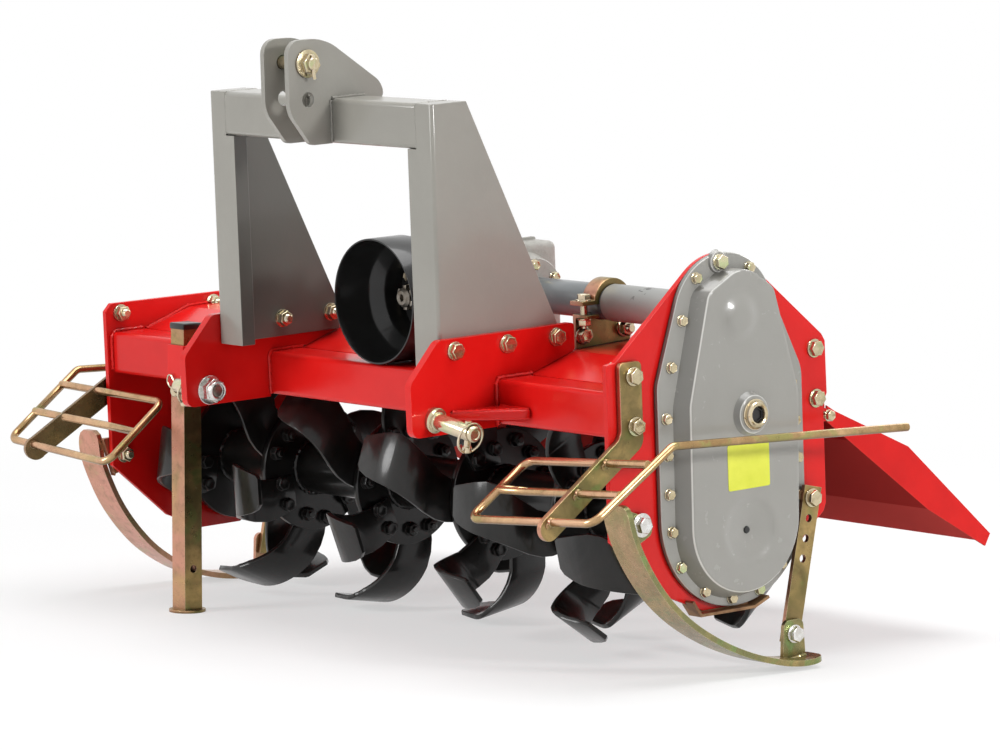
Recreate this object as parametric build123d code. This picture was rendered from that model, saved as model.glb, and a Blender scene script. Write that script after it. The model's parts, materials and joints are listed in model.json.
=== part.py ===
from build123d import *
import math
import os

os.makedirs("parts", exist_ok=True)

# Body frame while modelling: x to the chain-case side, -y to the tractor, z up, zero at the lower hitch
# pins' height, the mast's front face and the mast's middle. Everything is set down at the end.

# ---- overall sizes ----
INNER_WIDTH = 1092.0        # between the two end plates
CASE_SIDE_X = 484.0         # outer face of the right end plate from the mast's middle
MAST_HALF = 241.0           # mast's half width
ROTOR_R = 184.0             # working circle of the tines
PITCH = 2.68                # nose-down lean on its own supports, degrees
# ---- interfaces ----
PIN_R = 11.0                # lower hitch pins, 22 mm
TOP_PIN_R = 9.5             # top-link pin, 19 mm
TOP_PIN_Z = 460.0           # above the lower pins
MAST_TOP = TOP_PIN_Z - 49   # the crossbar's top
TOP_GAP = 44.5              # between the top-link plates
PTO_R = 17.46               # 1 3/8 in. stub
PTO_LEN = 76.0
FIT = 0.05
# ---- plate thicknesses ----
END_T = 8.0
HITCH_T = 12.0
MAST_T = 6.0
CLEVIS_T = 8.0
SHEET = 3.0
# ---- axes in y, z ----
ROTOR_Y, ROTOR_Z = 290.0, -160.0
DRIVE_Y, DRIVE_Z = 278.0, 128.0
TUBE_Z = DRIVE_Z - 3
HINGE_Y, HINGE_Z = 470.0, -32.0
# ---- drive tube, its sleeve and the parking stand ----
TUBE_R = 24.0
SLEEVE_STEP = 1.0
SLEEVE_R = TUBE_R + SLEEVE_STEP
ST = 30.0                   # stand tube, square
ST_WALL = 4.0
ROD_R = 5.5                 # side guards
# ---- beam ----
BEAM_Y0, BEAM_Y1 = 84.0, 144.0
BEAM_Z0, BEAM_Z1 = -18.0, 42.0

XR = CASE_SIDE_X            # outer face of the right end plate
XRI = XR - END_T
XLI = XRI - INNER_WIDTH     # inner face of the left end plate
XL = XLI - END_T
XM = (XR + XL) / 2          # middle of the body

parts = {}


def add(name, shape):
    parts[name] = shape


def slab_x(points, x0, x1, fillet_r=0.0):
    """A plate standing in y-z between x0 and x1."""
    plane = Plane(origin=(x0, 0, 0), x_dir=(0, 1, 0), z_dir=(1, 0, 0))
    face = make_face(Polyline(*points, close=True))
    if fillet_r:
        face = fillet(face.vertices(), fillet_r)
    return extrude(plane * face, amount=x1 - x0)


def slab_y(points, y0, y1):
    """A plate standing in x-z between y0 and y1."""
    plane = Plane(origin=(0, y1, 0), x_dir=(1, 0, 0), z_dir=(0, -1, 0))
    return extrude(plane * make_face(Polyline(*points, close=True)), amount=y1 - y0)


def slab_z(points, z0, z1):
    return extrude(Plane.XY.offset(z0) * make_face(Polyline(*points, close=True)), amount=z1 - z0)


def box(x0, x1, y0, y1, z0, z1):
    return Pos((x0 + x1) / 2, (y0 + y1) / 2, (z0 + z1) / 2) * Box(x1 - x0, y1 - y0, z1 - z0)


def cyl_x(x0, x1, y, z, r):
    return Pos((x0 + x1) / 2, y, z) * Rot(0, 90, 0) * Cylinder(r, x1 - x0)


def cyl_y(y0, y1, x, z, r):
    return Pos(x, (y0 + y1) / 2, z) * Rot(90, 0, 0) * Cylinder(r, y1 - y0)


def cyl_z(z0, z1, x, y, r):
    return Pos(x, y, (z0 + z1) / 2) * Cylinder(r, z1 - z0)


def rod(points, r, bend):
    path = FilletPolyline(*points, radius=bend)
    return sweep(Plane(origin=path @ 0, z_dir=path % 0) * Circle(r), path=path)


def strip(points, t):
    """Closed outline of a bent sheet, t thick, its first side on the points."""
    line = offset(Polyline(*points), t, kind=Kind.INTERSECTION, side=Side.LEFT, closed=True)
    return line


def sheet_x(points, t, x0, x1):
    plane = Plane(origin=(x0, 0, 0), x_dir=(0, 1, 0), z_dir=(1, 0, 0))
    return extrude(plane * make_face(strip(points, t)), amount=x1 - x0)


def hull_x(circles, x0, x1):
    plane = Plane(origin=(x0, 0, 0), x_dir=(0, 1, 0), z_dir=(1, 0, 0))
    sk = Sketch() + [Pos(y, z) * Circle(r) for y, z, r in circles]
    return extrude(plane * make_hull(sk.edges()), amount=x1 - x0)


def mirror_body(shape):
    """The same piece at the other side of the body."""
    return mirror(shape, about=Plane(origin=(XM, 0, 0), z_dir=(1, 0, 0)))


# ================= main frame =================
beam = box(XLI, XRI, BEAM_Y0, BEAM_Y1, BEAM_Z0, BEAM_Z1)
beam = fillet(beam.edges().filter_by(Axis.X), 7)
beam -= box(XLI - 1, XRI + 1, BEAM_Y0 + 5, BEAM_Y1 - 5, BEAM_Z0 + 5, BEAM_Z1 - 5)
add("cross_beam", beam)

REAR_EDGE = [
    (455, 80), (461, 70), (462, 0), (455, -14), (455, -147), (450, -158), (438, -167), (366, -228),
    (300, -262), (229, -262), (170, -236),
]
END_LEFT = [(76, -152), (75, 72), (86, 83)] + REAR_EDGE
end_left = slab_x(END_LEFT, XL, XLI)
CASE_TOP = (276.0, 118.0)    # middle of the round top of the chain case
CASE_TOP_R = 88.0


def tangent(y, z, side):
    """Where a line from y, z touches the round top of the plate, just inside the case's flange."""
    dy, dz = CASE_TOP[0] - y, CASE_TOP[1] - z
    away = math.hypot(dy, dz)
    r = CASE_TOP_R - 0.5
    turn = math.atan2(dz, dy) + side * math.asin(r / away)
    reach = math.sqrt(away**2 - r**2)
    return (y + reach * math.cos(turn), z + reach * math.sin(turn))


END_RIGHT = [(76, -152), (77, 78), (92, 80), tangent(92, 80, 1), tangent(455, 80, -1)]
end_right = slab_x(END_RIGHT + REAR_EDGE, XRI, XR)
end_right += cyl_x(XRI, XR, *CASE_TOP, CASE_TOP_R - 0.5)

# rotor journals pass the end plates in bearing collars
JOURNAL_R = 20.0
journal_hole = cyl_x(XL - 60, XR + 60, ROTOR_Y, ROTOR_Z, JOURNAL_R + FIT)
drive_hole = cyl_x(XRI - 1, XR + 1, DRIVE_Y, TUBE_Z, SLEEVE_R)
end_left -= journal_hole
end_right -= journal_hole
end_right -= drive_hole
add("end_plate_left", end_left)
add("end_plate_right", end_right)

# ---- hood over the rotor ----
HOOD = [(BEAM_Y1 - 3, 37.6), (221, 62), (340, 66), (425, 52), (460, 4), (462, -22)]
hood = sheet_x(HOOD, SHEET, XLI, XRI) - box(XLI - 1, XRI + 1, 100, BEAM_Y1, 0, 60)
add("hood", hood)
# what stands on the hood is cut along its top
HOOD_LINE = [(BEAM_Y1, 30), (148, 43.2), (221, 65.2), (340, 69.2), (425, 55.2), (470, 0), (144, 0)]

# ================= hitch plates =================
HITCH_XI = MAST_HALF
HITCH_XO = MAST_HALF + HITCH_T
PIN_Y = -22.0
PIN_OUT = {"left": 62.0, "right": 84.0}     # from the plate to the pin's end
HITCH = [
    (-60, -21), (-61, 50), (-11.5, 103), (221, 103), (221, 65.5), (150, 43.8), (146, BEAM_Z1),
    (BEAM_Y0, BEAM_Z1), (BEAM_Y0, -21),
]
for side, name in ((-1, "left"), (1, "right")):
    x0, x1 = sorted((side * HITCH_XI, side * HITCH_XO))
    plate = slab_x(HITCH, x0, x1)
    plate -= box(XLI, XRI, BEAM_Y0, BEAM_Y1, BEAM_Z0, BEAM_Z1)
    over_hood = [(BEAM_Y1, -30), (BEAM_Y1, 43.3), (148, 43.9), (221, 65.2), (340, 69.2), (340, -30)]
    plate -= slab_x(over_hood, x0 - 1, x1 + 1)
    g = side * HITCH_XO
    gusset = slab_z([(g, 5), (g, BEAM_Y0), (g + side * 66, BEAM_Y0)], -2, 6)
    plate += gusset
    plate -= cyl_x(x0 - 1, x1 + 1, PIN_Y, 0, 10.0)
    add(f"hitch_plate_{name}", plate)
    # lower pin: threaded shank through the plate, collar, working length
    pin = cyl_x(min(g, g + side * 6), max(g, g + side * 6), PIN_Y, 0, 17.0)
    end = g + side * PIN_OUT[name]
    pin += cyl_x(min(g, end), max(g, end), PIN_Y, 0, PIN_R)
    i = side * HITCH_XI
    pin += cyl_x(min(g, i - side * 26), max(g, i - side * 26), PIN_Y, 0, 10.0)
    nut = cyl_x(min(i, i - side * 20), max(i, i - side * 20), PIN_Y, 0, 16.0)
    pin += nut
    pin -= cyl_z(-20, 20, end - side * 16, PIN_Y, 5.0)
    add(f"hitch_pin_{name}", pin)

# ================= mast =================
LEG_FOOT = 62.0
WEB = 52.0
BAR_Z0 = MAST_TOP - 60
BAR_Y = 58.0
BAR_HALF = MAST_HALF - 34
for side, name in ((-1, "left"), (1, "right")):
    o = side * MAST_HALF
    wing = slab_x([(0, LEG_FOOT), (205, LEG_FOOT), (205, 98), (60, MAST_TOP), (0, MAST_TOP)],
                  min(o, o - side * MAST_T), max(o, o - side * MAST_T))
    low = o - side * WEB
    web = box(min(o, low), max(o, low), 0, MAST_T, LEG_FOOT, BAR_Z0)
    high = side * BAR_HALF
    web += box(min(o, high), max(o, high), 0, MAST_T, BAR_Z0, MAST_TOP)
    lip = box(min(low, low + side * MAST_T), max(low, low + side * MAST_T), 0, 22, LEG_FOOT, BAR_Z0)
    leg = wing + web + lip
    outer = leg.edges().filter_by(Axis.Z).sort_by(SortBy.DISTANCE).filter_by(
        lambda e: abs(e.center().X - o) < 0.01 and abs(e.center().Y) < 0.01)
    leg = fillet(outer, 5)
    add(f"mast_leg_{name}", leg)
bar = box(-BAR_HALF, BAR_HALF, 0, BAR_Y, BAR_Z0, MAST_TOP)
bar = fillet(bar.edges().filter_by(Axis.X), 6)
bar -= box(-BAR_HALF - 1, BAR_HALF + 1, 5, BAR_Y - 5, BAR_Z0 + 5, MAST_TOP - 5)
# end webs of the crossbar reach the wings
cap = box(BAR_HALF, MAST_HALF - MAST_T, MAST_T, BAR_Y, MAST_TOP - MAST_T, MAST_TOP)
for side, name in ((-1, "left"), (1, "right")):
    c = cap if side > 0 else mirror(cap, about=Plane.YZ)
    parts[f"mast_leg_{name}"] += c
add("mast_crossbar", bar)

# ---- top-link plates ----
CLEVIS = [
    (-69, MAST_TOP + 72), (-51, MAST_TOP + 81), (-9, MAST_TOP + 80), (78, MAST_TOP + 21), (89, MAST_TOP + 4),
    (82, MAST_TOP - 8), (BAR_Y, MAST_TOP - 8), (BAR_Y, MAST_TOP), (0, MAST_TOP), (0, BAR_Z0), (-36, BAR_Z0),
    (-70, MAST_TOP - 14),
]
TOP_Y = -38.0
TOP_HOLES_Z = (TOP_PIN_Z - 48, TOP_PIN_Z)
for side, name in ((-1, "left"), (1, "right")):
    a = side * TOP_GAP / 2
    b = side * (TOP_GAP / 2 + CLEVIS_T)
    plate = slab_x(CLEVIS, min(a, b), max(a, b))
    for z in TOP_HOLES_Z:
        plate -= cyl_x(-60, 60, TOP_Y, z, TOP_PIN_R + FIT)
    add(f"top_link_plate_{name}", plate)
e = TOP_GAP / 2 + CLEVIS_T
pin = cyl_x(-e - 20, e + 16, TOP_Y, TOP_PIN_Z, TOP_PIN_R)
pin += cyl_x(e, e + 5, TOP_Y, TOP_PIN_Z, 17.0)
pin += cyl_x(e + 5, e + 14, TOP_Y, TOP_PIN_Z, 13.5)
add("top_link_pin", pin)

# ================= gearbox, drive tube, PTO =================
GB_HALF = 80.0
GB_Y0, GB_Y1 = 220.0, 336.0
GUARD_Y1 = 182.0
BOSS_X = 106.0
gear = box(-GB_HALF, GB_HALF, GB_Y0, GB_Y1, 62, 192)
gear = fillet(gear.edges(), 14)
gear += cyl_x(GB_HALF - 10, BOSS_X, DRIVE_Y, TUBE_Z, 50)
gear += cyl_y(GUARD_Y1, GB_Y0 + 10, 0, DRIVE_Z, 60)
gear += box(-70, 70, 232, 332, 66.5, 80)
gear -= slab_x(HOOD_LINE, -120, 120)
SHAFT_Y0 = 130.0
STUB_Y1 = SHAFT_Y0 + PTO_LEN        # the stub's shoulder, in a cup of the housing
SHAFT_Y1 = 316.0
JOURNAL_PTO = PTO_R + 3.0
GUARD_R = 85.5
GUARD_WALL = 3.0
CUP_R = PTO_R + 15
gear -= cyl_y(GUARD_Y1 - 1, STUB_Y1 + 1, 0, DRIVE_Z, CUP_R)
gear -= cyl_y(STUB_Y1, SHAFT_Y1 + 6, 0, DRIVE_Z, JOURNAL_PTO + FIT)
gear -= cyl_y(STUB_Y1 + 16, SHAFT_Y1 + 6, 0, DRIVE_Z, JOURNAL_PTO + 5)
foot = slab_x([(232, 66.2), (332, 69.3), (332, 78), (232, 78)], -70, 70)
gear += foot
add("gearbox_housing", gear)
pto = cyl_y(SHAFT_Y0, STUB_Y1 + 2, 0, DRIVE_Z, PTO_R)
pto += cyl_y(STUB_Y1, SHAFT_Y1, 0, DRIVE_Z, JOURNAL_PTO)
add("pto_shaft", pto)
guard_cut = slab_x([(100, 30), (BEAM_Y1, 42), (221, 65.6), (221, 0), (100, 0)], -GUARD_R - 5, GUARD_R + 5)
guard = cyl_y(82, GUARD_Y1 - 4, 0, DRIVE_Z, GUARD_R) - cyl_y(81, GUARD_Y1, 0, DRIVE_Z, GUARD_R - GUARD_WALL)
add("pto_guard", guard - guard_cut)
back = cyl_y(GUARD_Y1 - 4, GUARD_Y1, 0, DRIVE_Z, GUARD_R) - cyl_y(80, GB_Y0, 0, DRIVE_Z, CUP_R)
add("pto_guard_back", back - guard_cut)

SLEEVE_X = 270.0
tube = cyl_x(BOSS_X, SLEEVE_X, DRIVE_Y, TUBE_Z, TUBE_R)
tube -= cyl_x(BOSS_X - 1, SLEEVE_X + 1, DRIVE_Y, TUBE_Z, TUBE_R - 4)
add("drive_tube", tube)
sleeve = cyl_x(SLEEVE_X, XR, DRIVE_Y, TUBE_Z, SLEEVE_R)
sleeve -= cyl_x(SLEEVE_X - 1, XR + 1, DRIVE_Y, TUBE_Z, TUBE_R - 2)
add("drive_sleeve", sleeve)
# half ring over the tube, bolted down to the bracket's two flanges
CLAMP_X0, CLAMP_X1 = 242.0, 268.0
CLAMP_R = TUBE_R + 9
EAR = CLAMP_R + 21
clamp = cyl_x(CLAMP_X0, CLAMP_X1, DRIVE_Y, TUBE_Z, CLAMP_R)
clamp += box(CLAMP_X0, CLAMP_X1, DRIVE_Y - EAR, DRIVE_Y + EAR, TUBE_Z, TUBE_Z + 6)
clamp -= box(CLAMP_X0 - 1, CLAMP_X1 + 1, DRIVE_Y - EAR - 1, DRIVE_Y + EAR + 1, TUBE_Z - CLAMP_R - 1, TUBE_Z)
clamp -= cyl_x(CLAMP_X0 - 1, CLAMP_X1 + 1, DRIVE_Y, TUBE_Z, TUBE_R + 0.02)
add("tube_clamp", clamp)
BRACKET_TOP = TUBE_Z - 13
BRACKET_W = EAR - 6
bracket = box(240, 246, DRIVE_Y - BRACKET_W, DRIVE_Y + BRACKET_W, 40, BRACKET_TOP)
for side in (-1, 1):
    y0, y1 = sorted((DRIVE_Y + side * (TUBE_R + 2), DRIVE_Y + side * BRACKET_W))
    bracket += box(246, 270, y0, y1, BRACKET_TOP - 5, BRACKET_TOP)
bracket -= cyl_x(230, 280, DRIVE_Y, TUBE_Z, TUBE_R)
bracket -= slab_x(HOOD_LINE, 230, 280)
add("clamp_bracket", bracket)

# ================= chain case =================
FLANGE = [(*CASE_TOP, CASE_TOP_R), (206, 34, 50), (362, 30, 48), (283, -134, 127)]
COVER = [(286, 118, 64), (243, 8, 50), (331, 8, 50), (287, -148, 94)]
INNER = [(286, 118, 60), (243, 8, 46), (331, 8, 46), (287, -148, 90)]
FL_X0, FL_X1, CV_X1 = XR + 2, XR + 8, XR + 28
gasket = hull_x(FLANGE, XR, FL_X0) - hull_x(COVER, XR - 1, FL_X0 + 1)
add("case_gasket", gasket)
cover = hull_x(FLANGE, FL_X0, FL_X1)
cover += hull_x(COVER, FL_X0, CV_X1)
cover -= hull_x(INNER, FL_X0 - 1, CV_X1 - 4)
cover += cyl_x(CV_X1 - 4, CV_X1 + 8, 298, -7, 17)
add("chain_case_cover", cover)
shoe = sheet_x([(198, -246), (212, -266.5), (308, -267.5), (334, -257.5)], 4.0, XRI, CV_X1 - 12)
shoe += slab_x([(202, -240), (326, -240), (308, -264), (213, -263)], XRI, XR)
shoe -= slab_x(END_RIGHT + REAR_EDGE, XRI - 1, XR + 1)
add("case_shoe", shoe)

# ---- bearing housings at the rotor's ends ----
bl = cyl_x(XL - 26, XL, ROTOR_Y, ROTOR_Z, 48) - cyl_x(XL - 18, XL + 1, ROTOR_Y, ROTOR_Z, JOURNAL_R + FIT)
ears = hull_x([(ROTOR_Y - 48, ROTOR_Z, 16), (ROTOR_Y + 48, ROTOR_Z, 16)], XL - 10, XL)
bl += ears - cyl_x(XL - 12, XL + 1, ROTOR_Y, ROTOR_Z, 40)
add("bearing_housing_left", bl)

# ================= rotor =================
ROT_X0, ROT_X1 = XLI + 8, XRI - 8
TUBE_ROT = 38.0
shaft = cyl_x(ROT_X0, ROT_X1, ROTOR_Y, ROTOR_Z, TUBE_ROT)
shaft += cyl_x(XL - 16, ROT_X0, ROTOR_Y, ROTOR_Z, JOURNAL_R)
shaft += cyl_x(ROT_X1, XR + 14, ROTOR_Y, ROTOR_Z, JOURNAL_R)
add("rotor_shaft", shaft)
FLANGE_R = 92.0
FLANGE_T = 10.0
TINE_T = 7.0
LEG = 99.0                  # from the flange's face to the tine's tip
LEG_FACE = ROTOR_R - 4
BEND_R = 62.0
# x from the mast's middle; turn of each flange; does it carry right and left tines
FLANGES = [
    # x, turn, right, left
    (-598, 40, True, False),
    (-419, 27, True, True),
    (-205, 11, True, True),
    (8, -8, True, True),
    (221, -24, True, True),
    (434, -40, False, True),
]
# outline of a tine at twelve o'clock in y, z: leading side, then trailing side
LEAD = [(-50, 46), (-60, 66), (-71, 88), (-73, 105), (-67, 132), (-53, 158), (-36, 176)]
TRAIL = [(36, 176), (20, 154), (8, 134), (0, 112), (-4, 90), (-6, 70), (-4, 46)]


def tine(turn):
    """One tine, its tip at twelve o'clock of a flange at the origin, bending to the side of turn."""
    base = FLANGE_T / 2
    grow = LEG_FACE / 180
    path = FilletPolyline((base, 30), (base, LEG_FACE), (base + LEG, LEG_FACE), radius=BEND_R)
    plane = Plane(origin=(0, 120, 0), x_dir=(1, 0, 0), z_dir=(0, -1, 0))
    body = extrude(plane * make_face(offset(path, TINE_T, side=Side.RIGHT, closed=True)), amount=240)
    lead = Spline(*[(y * grow, z * grow) for y, z in LEAD])
    trail = Spline(*[(y * grow, z * grow) for y, z in TRAIL])
    top = Polyline(lead @ 1, (-36 * grow, LEG_FACE + 5), (36 * grow, LEG_FACE + 5), trail @ 0)
    blank = make_face(lead + top + trail + Line(trail @ 1, lead @ 0))
    out = extrude(Plane(origin=(-10, 0, 0), x_dir=(0, 1, 0), z_dir=(1, 0, 0)) * blank, amount=160)
    t = body & out
    # the leg narrows to its tip
    tip = base + LEG
    for side, wide in ((-1, 40), (1, 37)):
        taper = [(base + 44, side * wide), (tip + 1, side * 24), (tip + 1, side * 80), (base + 44, side * 80)]
        t -= slab_z(taper, LEG_FACE - 20, LEG_FACE + 6)
    if turn < 0:
        t = mirror(t, about=Plane.YZ)
    return t


right_tine = tine(1)
left_tine = tine(-1)
for n, (x, turn, right, left) in enumerate(FLANGES, 1):
    disc = cyl_x(x - FLANGE_T / 2, x + FLANGE_T / 2, ROTOR_Y, ROTOR_Z, FLANGE_R)
    disc -= cyl_x(x - FLANGE_T, x + FLANGE_T, ROTOR_Y, ROTOR_Z, TUBE_ROT)
    add(f"rotor_flange_{n}", disc)
    tines = []
    for k in range(6):
        if (k % 2 == 1 and right) or (k % 2 == 0 and left):
            one = right_tine if k % 2 == 1 else left_tine
            # counted from straight down towards the tractor
            tines.append(Pos(x, ROTOR_Y, ROTOR_Z) * Rot(180 - turn - 60 * k, 0, 0) * one)
    add(f"tines_{n}", Compound(children=tines))

# ================= tailboard =================
TB_X0, TB_X1 = XLI + 6, XRI - 6
BOARD = [(HINGE_Y + 9, HINGE_Z - 5), (513, -72), (655, -183), (746, -238)]
board = sheet_x(BOARD, SHEET, TB_X0, TB_X1)
WING = [
    (HINGE_Y + 4, HINGE_Z + 12), (488, -29), (541, -54), (622, -93), (773, -232), (763, -248), (746, -238),
    (655, -183), (513, -72), (HINGE_Y + 4, HINGE_Z - 10),
]
board += slab_x(WING, TB_X1 - SHEET, TB_X1)
board += slab_x(WING, TB_X0, TB_X0 + SHEET)
HINGE_R = 9.0
HINGE_PIN_R = 5.0
hinge_bore = cyl_x(XL, XR, HINGE_Y, HINGE_Z, HINGE_PIN_R + FIT)
clear = cyl_x(TB_X0 - 1, TB_X1 + 1, HINGE_Y, HINGE_Z, HINGE_R + 0.5)
SEGMENTS = 5
seg = (TB_X1 - TB_X0) / SEGMENTS
board -= clear
hood_knuckles = None
for n in range(SEGMENTS):
    x0 = TB_X0 + n * seg
    x1 = x0 + seg
    if n % 2 == 0:
        knuckle = cyl_x(x0 + 1, x1 - 1, HINGE_Y, HINGE_Z, HINGE_R)
        knuckle += box(x0 + 8, x1 - 8, HINGE_Y, HINGE_Y + 16, HINGE_Z - 9, HINGE_Z - 4)
        board += knuckle
    else:
        knuckle = cyl_x(x0 + 1, x1 - 1, HINGE_Y, HINGE_Z, HINGE_R)
        knuckle += box(x0 + 1, x1 - 1, 458.5, 463, HINGE_Z - 4, -18)
        hood_knuckles = knuckle if hood_knuckles is None else hood_knuckles + knuckle
board -= hinge_bore
hood_knuckles -= hinge_bore
hood_knuckles -= hood
add("tailboard", board)
add("hinge_knuckles", hood_knuckles)
hinge_pin = cyl_x(XLI, XRI, HINGE_Y, HINGE_Z, HINGE_PIN_R)
add("hinge_pin", hinge_pin)

# ================= skids and their struts =================
SKID_W, SKID_T = 50.0, 8.0
# underside of each skid from its front end, Y and Z; the left one hangs lower on its holder
SKID = {
    "right": [
        (58, -98), (61, -124), (74, -160), (96, -199), (124, -235), (163, -270), (212, -301), (262, -324),
        (312, -340), (345, -346.5), (370, -348), (396, -346),
    ],
    "left": [
        (62, -102), (64, -140), (79, -183), (99, -222), (128, -261), (162, -294), (212, -326), (262, -343),
        (308, -350.5), (350, -352), (390, -348),
    ],
}
SK_X0 = XR + 6


def skid_bar(points):
    """One flat bar bent to the given underside, with its front and rear lugs, at the right side."""
    path = Spline(*points)
    curve = [path @ (i / 48) for i in range(49)]
    outline = offset(Polyline(*curve), SKID_T, kind=Kind.INTERSECTION, side=Side.LEFT, closed=True)
    plane = Plane(origin=(SK_X0, 0, 0), x_dir=(0, 1, 0), z_dir=(1, 0, 0))
    bar = extrude(plane * make_face(outline), amount=SKID_W)
    lug = slab_x([(66, -112), (100, -112), (141, -128), (141, -148), (120, -158), (84, -166)], XR, SK_X0)
    lug += slab_x([(66, -112), (92, -118), (92, -160), (84, -166)], SK_X0, SK_X0 + 10)
    below = [(0, points[0][1] + 6)] + [(p.X, p.Y) for p in curve] + [(points[-1][0], -420), (0, -420)]
    under = slab_x(below, XR - 1, SK_X0 + SKID_W + 10)
    bar += lug - under - bar
    rear_lug = slab_x([(344, -350), (386, -350), (383, -290), (349, -290)], SK_X0 + 14, SK_X0 + 20)
    bar += rear_lug - under - bar
    return bar


STRUT_TOP, STRUT_FOOT = (414, -118), (365, -322)
dy, dz = STRUT_TOP[0] - STRUT_FOOT[0], STRUT_TOP[1] - STRUT_FOOT[1]
ln = math.hypot(dy, dz)
uy, uz = dy / ln, dz / ln
w = 15.0
strut_line = [
    (STRUT_TOP[0] - uz * w, STRUT_TOP[1] + uy * w), (STRUT_TOP[0] + uz * w, STRUT_TOP[1] - uy * w),
    (STRUT_FOOT[0] + uz * w, STRUT_FOOT[1] - uy * w), (STRUT_FOOT[0] - uz * w, STRUT_FOOT[1] + uy * w),
]
STRUT_X0 = SK_X0 + 8
strut = slab_x(strut_line, STRUT_X0, STRUT_X0 + 6)
spacer = cyl_x(XR, STRUT_X0, STRUT_TOP[0] - uy * 16 + 12.5, STRUT_TOP[1] - uz * 16, 5)
for k in range(1, 4):
    s = 16 + 27.0 * k
    strut -= cyl_x(XR, XR + 30, STRUT_TOP[0] - uy * s, STRUT_TOP[1] - uz * s, 5.5)
strut += spacer
add("skid_right", skid_bar(SKID["right"]))
add("skid_left", mirror_body(skid_bar(SKID["left"])))
add("skid_strut_right", strut)

# ================= side guards =================
ARM_T = 8.0
GX0, GX1 = XR - 151, XR + 88
BACK_Y, FRONT_Y, MID_Y = 66.0, -35.0, 16.0


def side_guard(wider, back_z, bend_y, splay):
    """Bent rod, its cross rod and the flat arm that carries them, drawn at the right side."""
    x1 = GX1 + wider
    front_z = -121
    mid_z = back_z + (front_z - back_z) * (BACK_Y - MID_Y) / (BACK_Y - FRONT_Y)
    path = [
        (x1, BACK_Y, -40.5), (GX0, BACK_Y, back_z), (GX0, FRONT_Y, front_z), (x1, -28, -104.5 - wider / 2),
        (x1, bend_y, -22), (x1, 523, -46),
    ]
    rods = rod(path, ROD_R, 16)
    rods += rod([(GX0, MID_Y, mid_z), (GX0 + 60, MID_Y, mid_z + 3), (x1, MID_Y + 1, -74)], ROD_R, 2)
    arm = slab_x([(92.5, 80), (130, 80), (130, -30), (92.5, -54.9)], XR, XR + ARM_T)
    low = slab_x([(92.5, -16), (92.5, -54.9), (-22, -131), (-42, -106)], XR, XR + ARM_T)
    low += cyl_x(XR, XR + ARM_T, -32, -118.5, 16.5)
    arm += Pos(XR, 92.5, 0) * Rot(0, 0, splay) * Pos(-XR, -92.5, 0) * low
    return rods, arm - rods


rods, arm = side_guard(0, -57, 109, 0)
add("side_guard_right", rods)
add("guard_arm_right", arm)
rods, arm = side_guard(10, -46, 95, 16.5)
add("side_guard_left", mirror_body(rods))
add("guard_arm_left", mirror_body(arm))
add("skid_strut_left", mirror_body(parts["skid_strut_right"]))

# ================= set down on its supports =================
def lean(shape):
    return Rot(PITCH, 0, 0) * shape


world = {name: lean(shape) for name, shape in parts.items()}
FLOOR = min(world[n].bounding_box().min.Z for n in ("skid_left", "skid_right"))

# ---- parking stand, upright in a sleeve on the beam ----
ST_X, ST_Y = -414.0, 66.0
FOOT_R, FOOT_T = 0.87 * ST, 4.0
STAND_TOP = 68.0
h = ST / 2
leg = box(ST_X - h, ST_X + h, ST_Y - h, ST_Y + h, FLOOR + FOOT_T, STAND_TOP)
leg -= box(ST_X - h + 3, ST_X + h - 3, ST_Y - h + 3, ST_Y + h - 3, FLOOR + FOOT_T, STAND_TOP + 1)
leg += cyl_z(FLOOR, FLOOR + FOOT_T, ST_X, ST_Y, FOOT_R)
leg -= cyl_x(ST_X - 2 * h, ST_X + 2 * h, ST_Y, FLOOR + 62, 5.5)
stand_cap = box(ST_X - h - 1, ST_X + h + 1, ST_Y - h - 1, ST_Y + h + 1, STAND_TOP, STAND_TOP + 5)
stand_cap += box(ST_X - h + 3.1, ST_X + h - 3.1, ST_Y - h + 3.1, ST_Y + h - 3.1, STAND_TOP - 20, STAND_TOP)
sw = h + FIT
sleeve = box(ST_X - h - ST_WALL, ST_X + h + ST_WALL, ST_Y - h - ST_WALL, ST_Y + h + 12, -14, 44)
sleeve -= box(ST_X - sw, ST_X + sw, ST_Y - sw, ST_Y + sw, -20, 50)
sleeve -= lean(box(XLI, XRI, BEAM_Y0, BEAM_Y1 + 60, BEAM_Z0 - 60, BEAM_Z1 + 60))
world["stand_leg"] = leg
world["stand_cap"] = stand_cap
world["stand_sleeve"] = sleeve

boxes = [shape.bounding_box() for shape in world.values()]
cx = (min(b.min.X for b in boxes) + max(b.max.X for b in boxes)) / 2
cy = (min(b.min.Y for b in boxes) + max(b.max.Y for b in boxes)) / 2
cz = min(b.min.Z for b in boxes)
SHIFT = (-cx, -cy, -cz)

for name, shape in world.items():
    moved = Pos(*SHIFT) * shape
    export_step(moved, f"parts/{name}.step")
print("pieces", len(world), "shift", [round(v, 4) for v in SHIFT])
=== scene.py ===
import json
import math
import random
import bmesh
import bpy
from mathutils import Matrix, Vector


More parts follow.
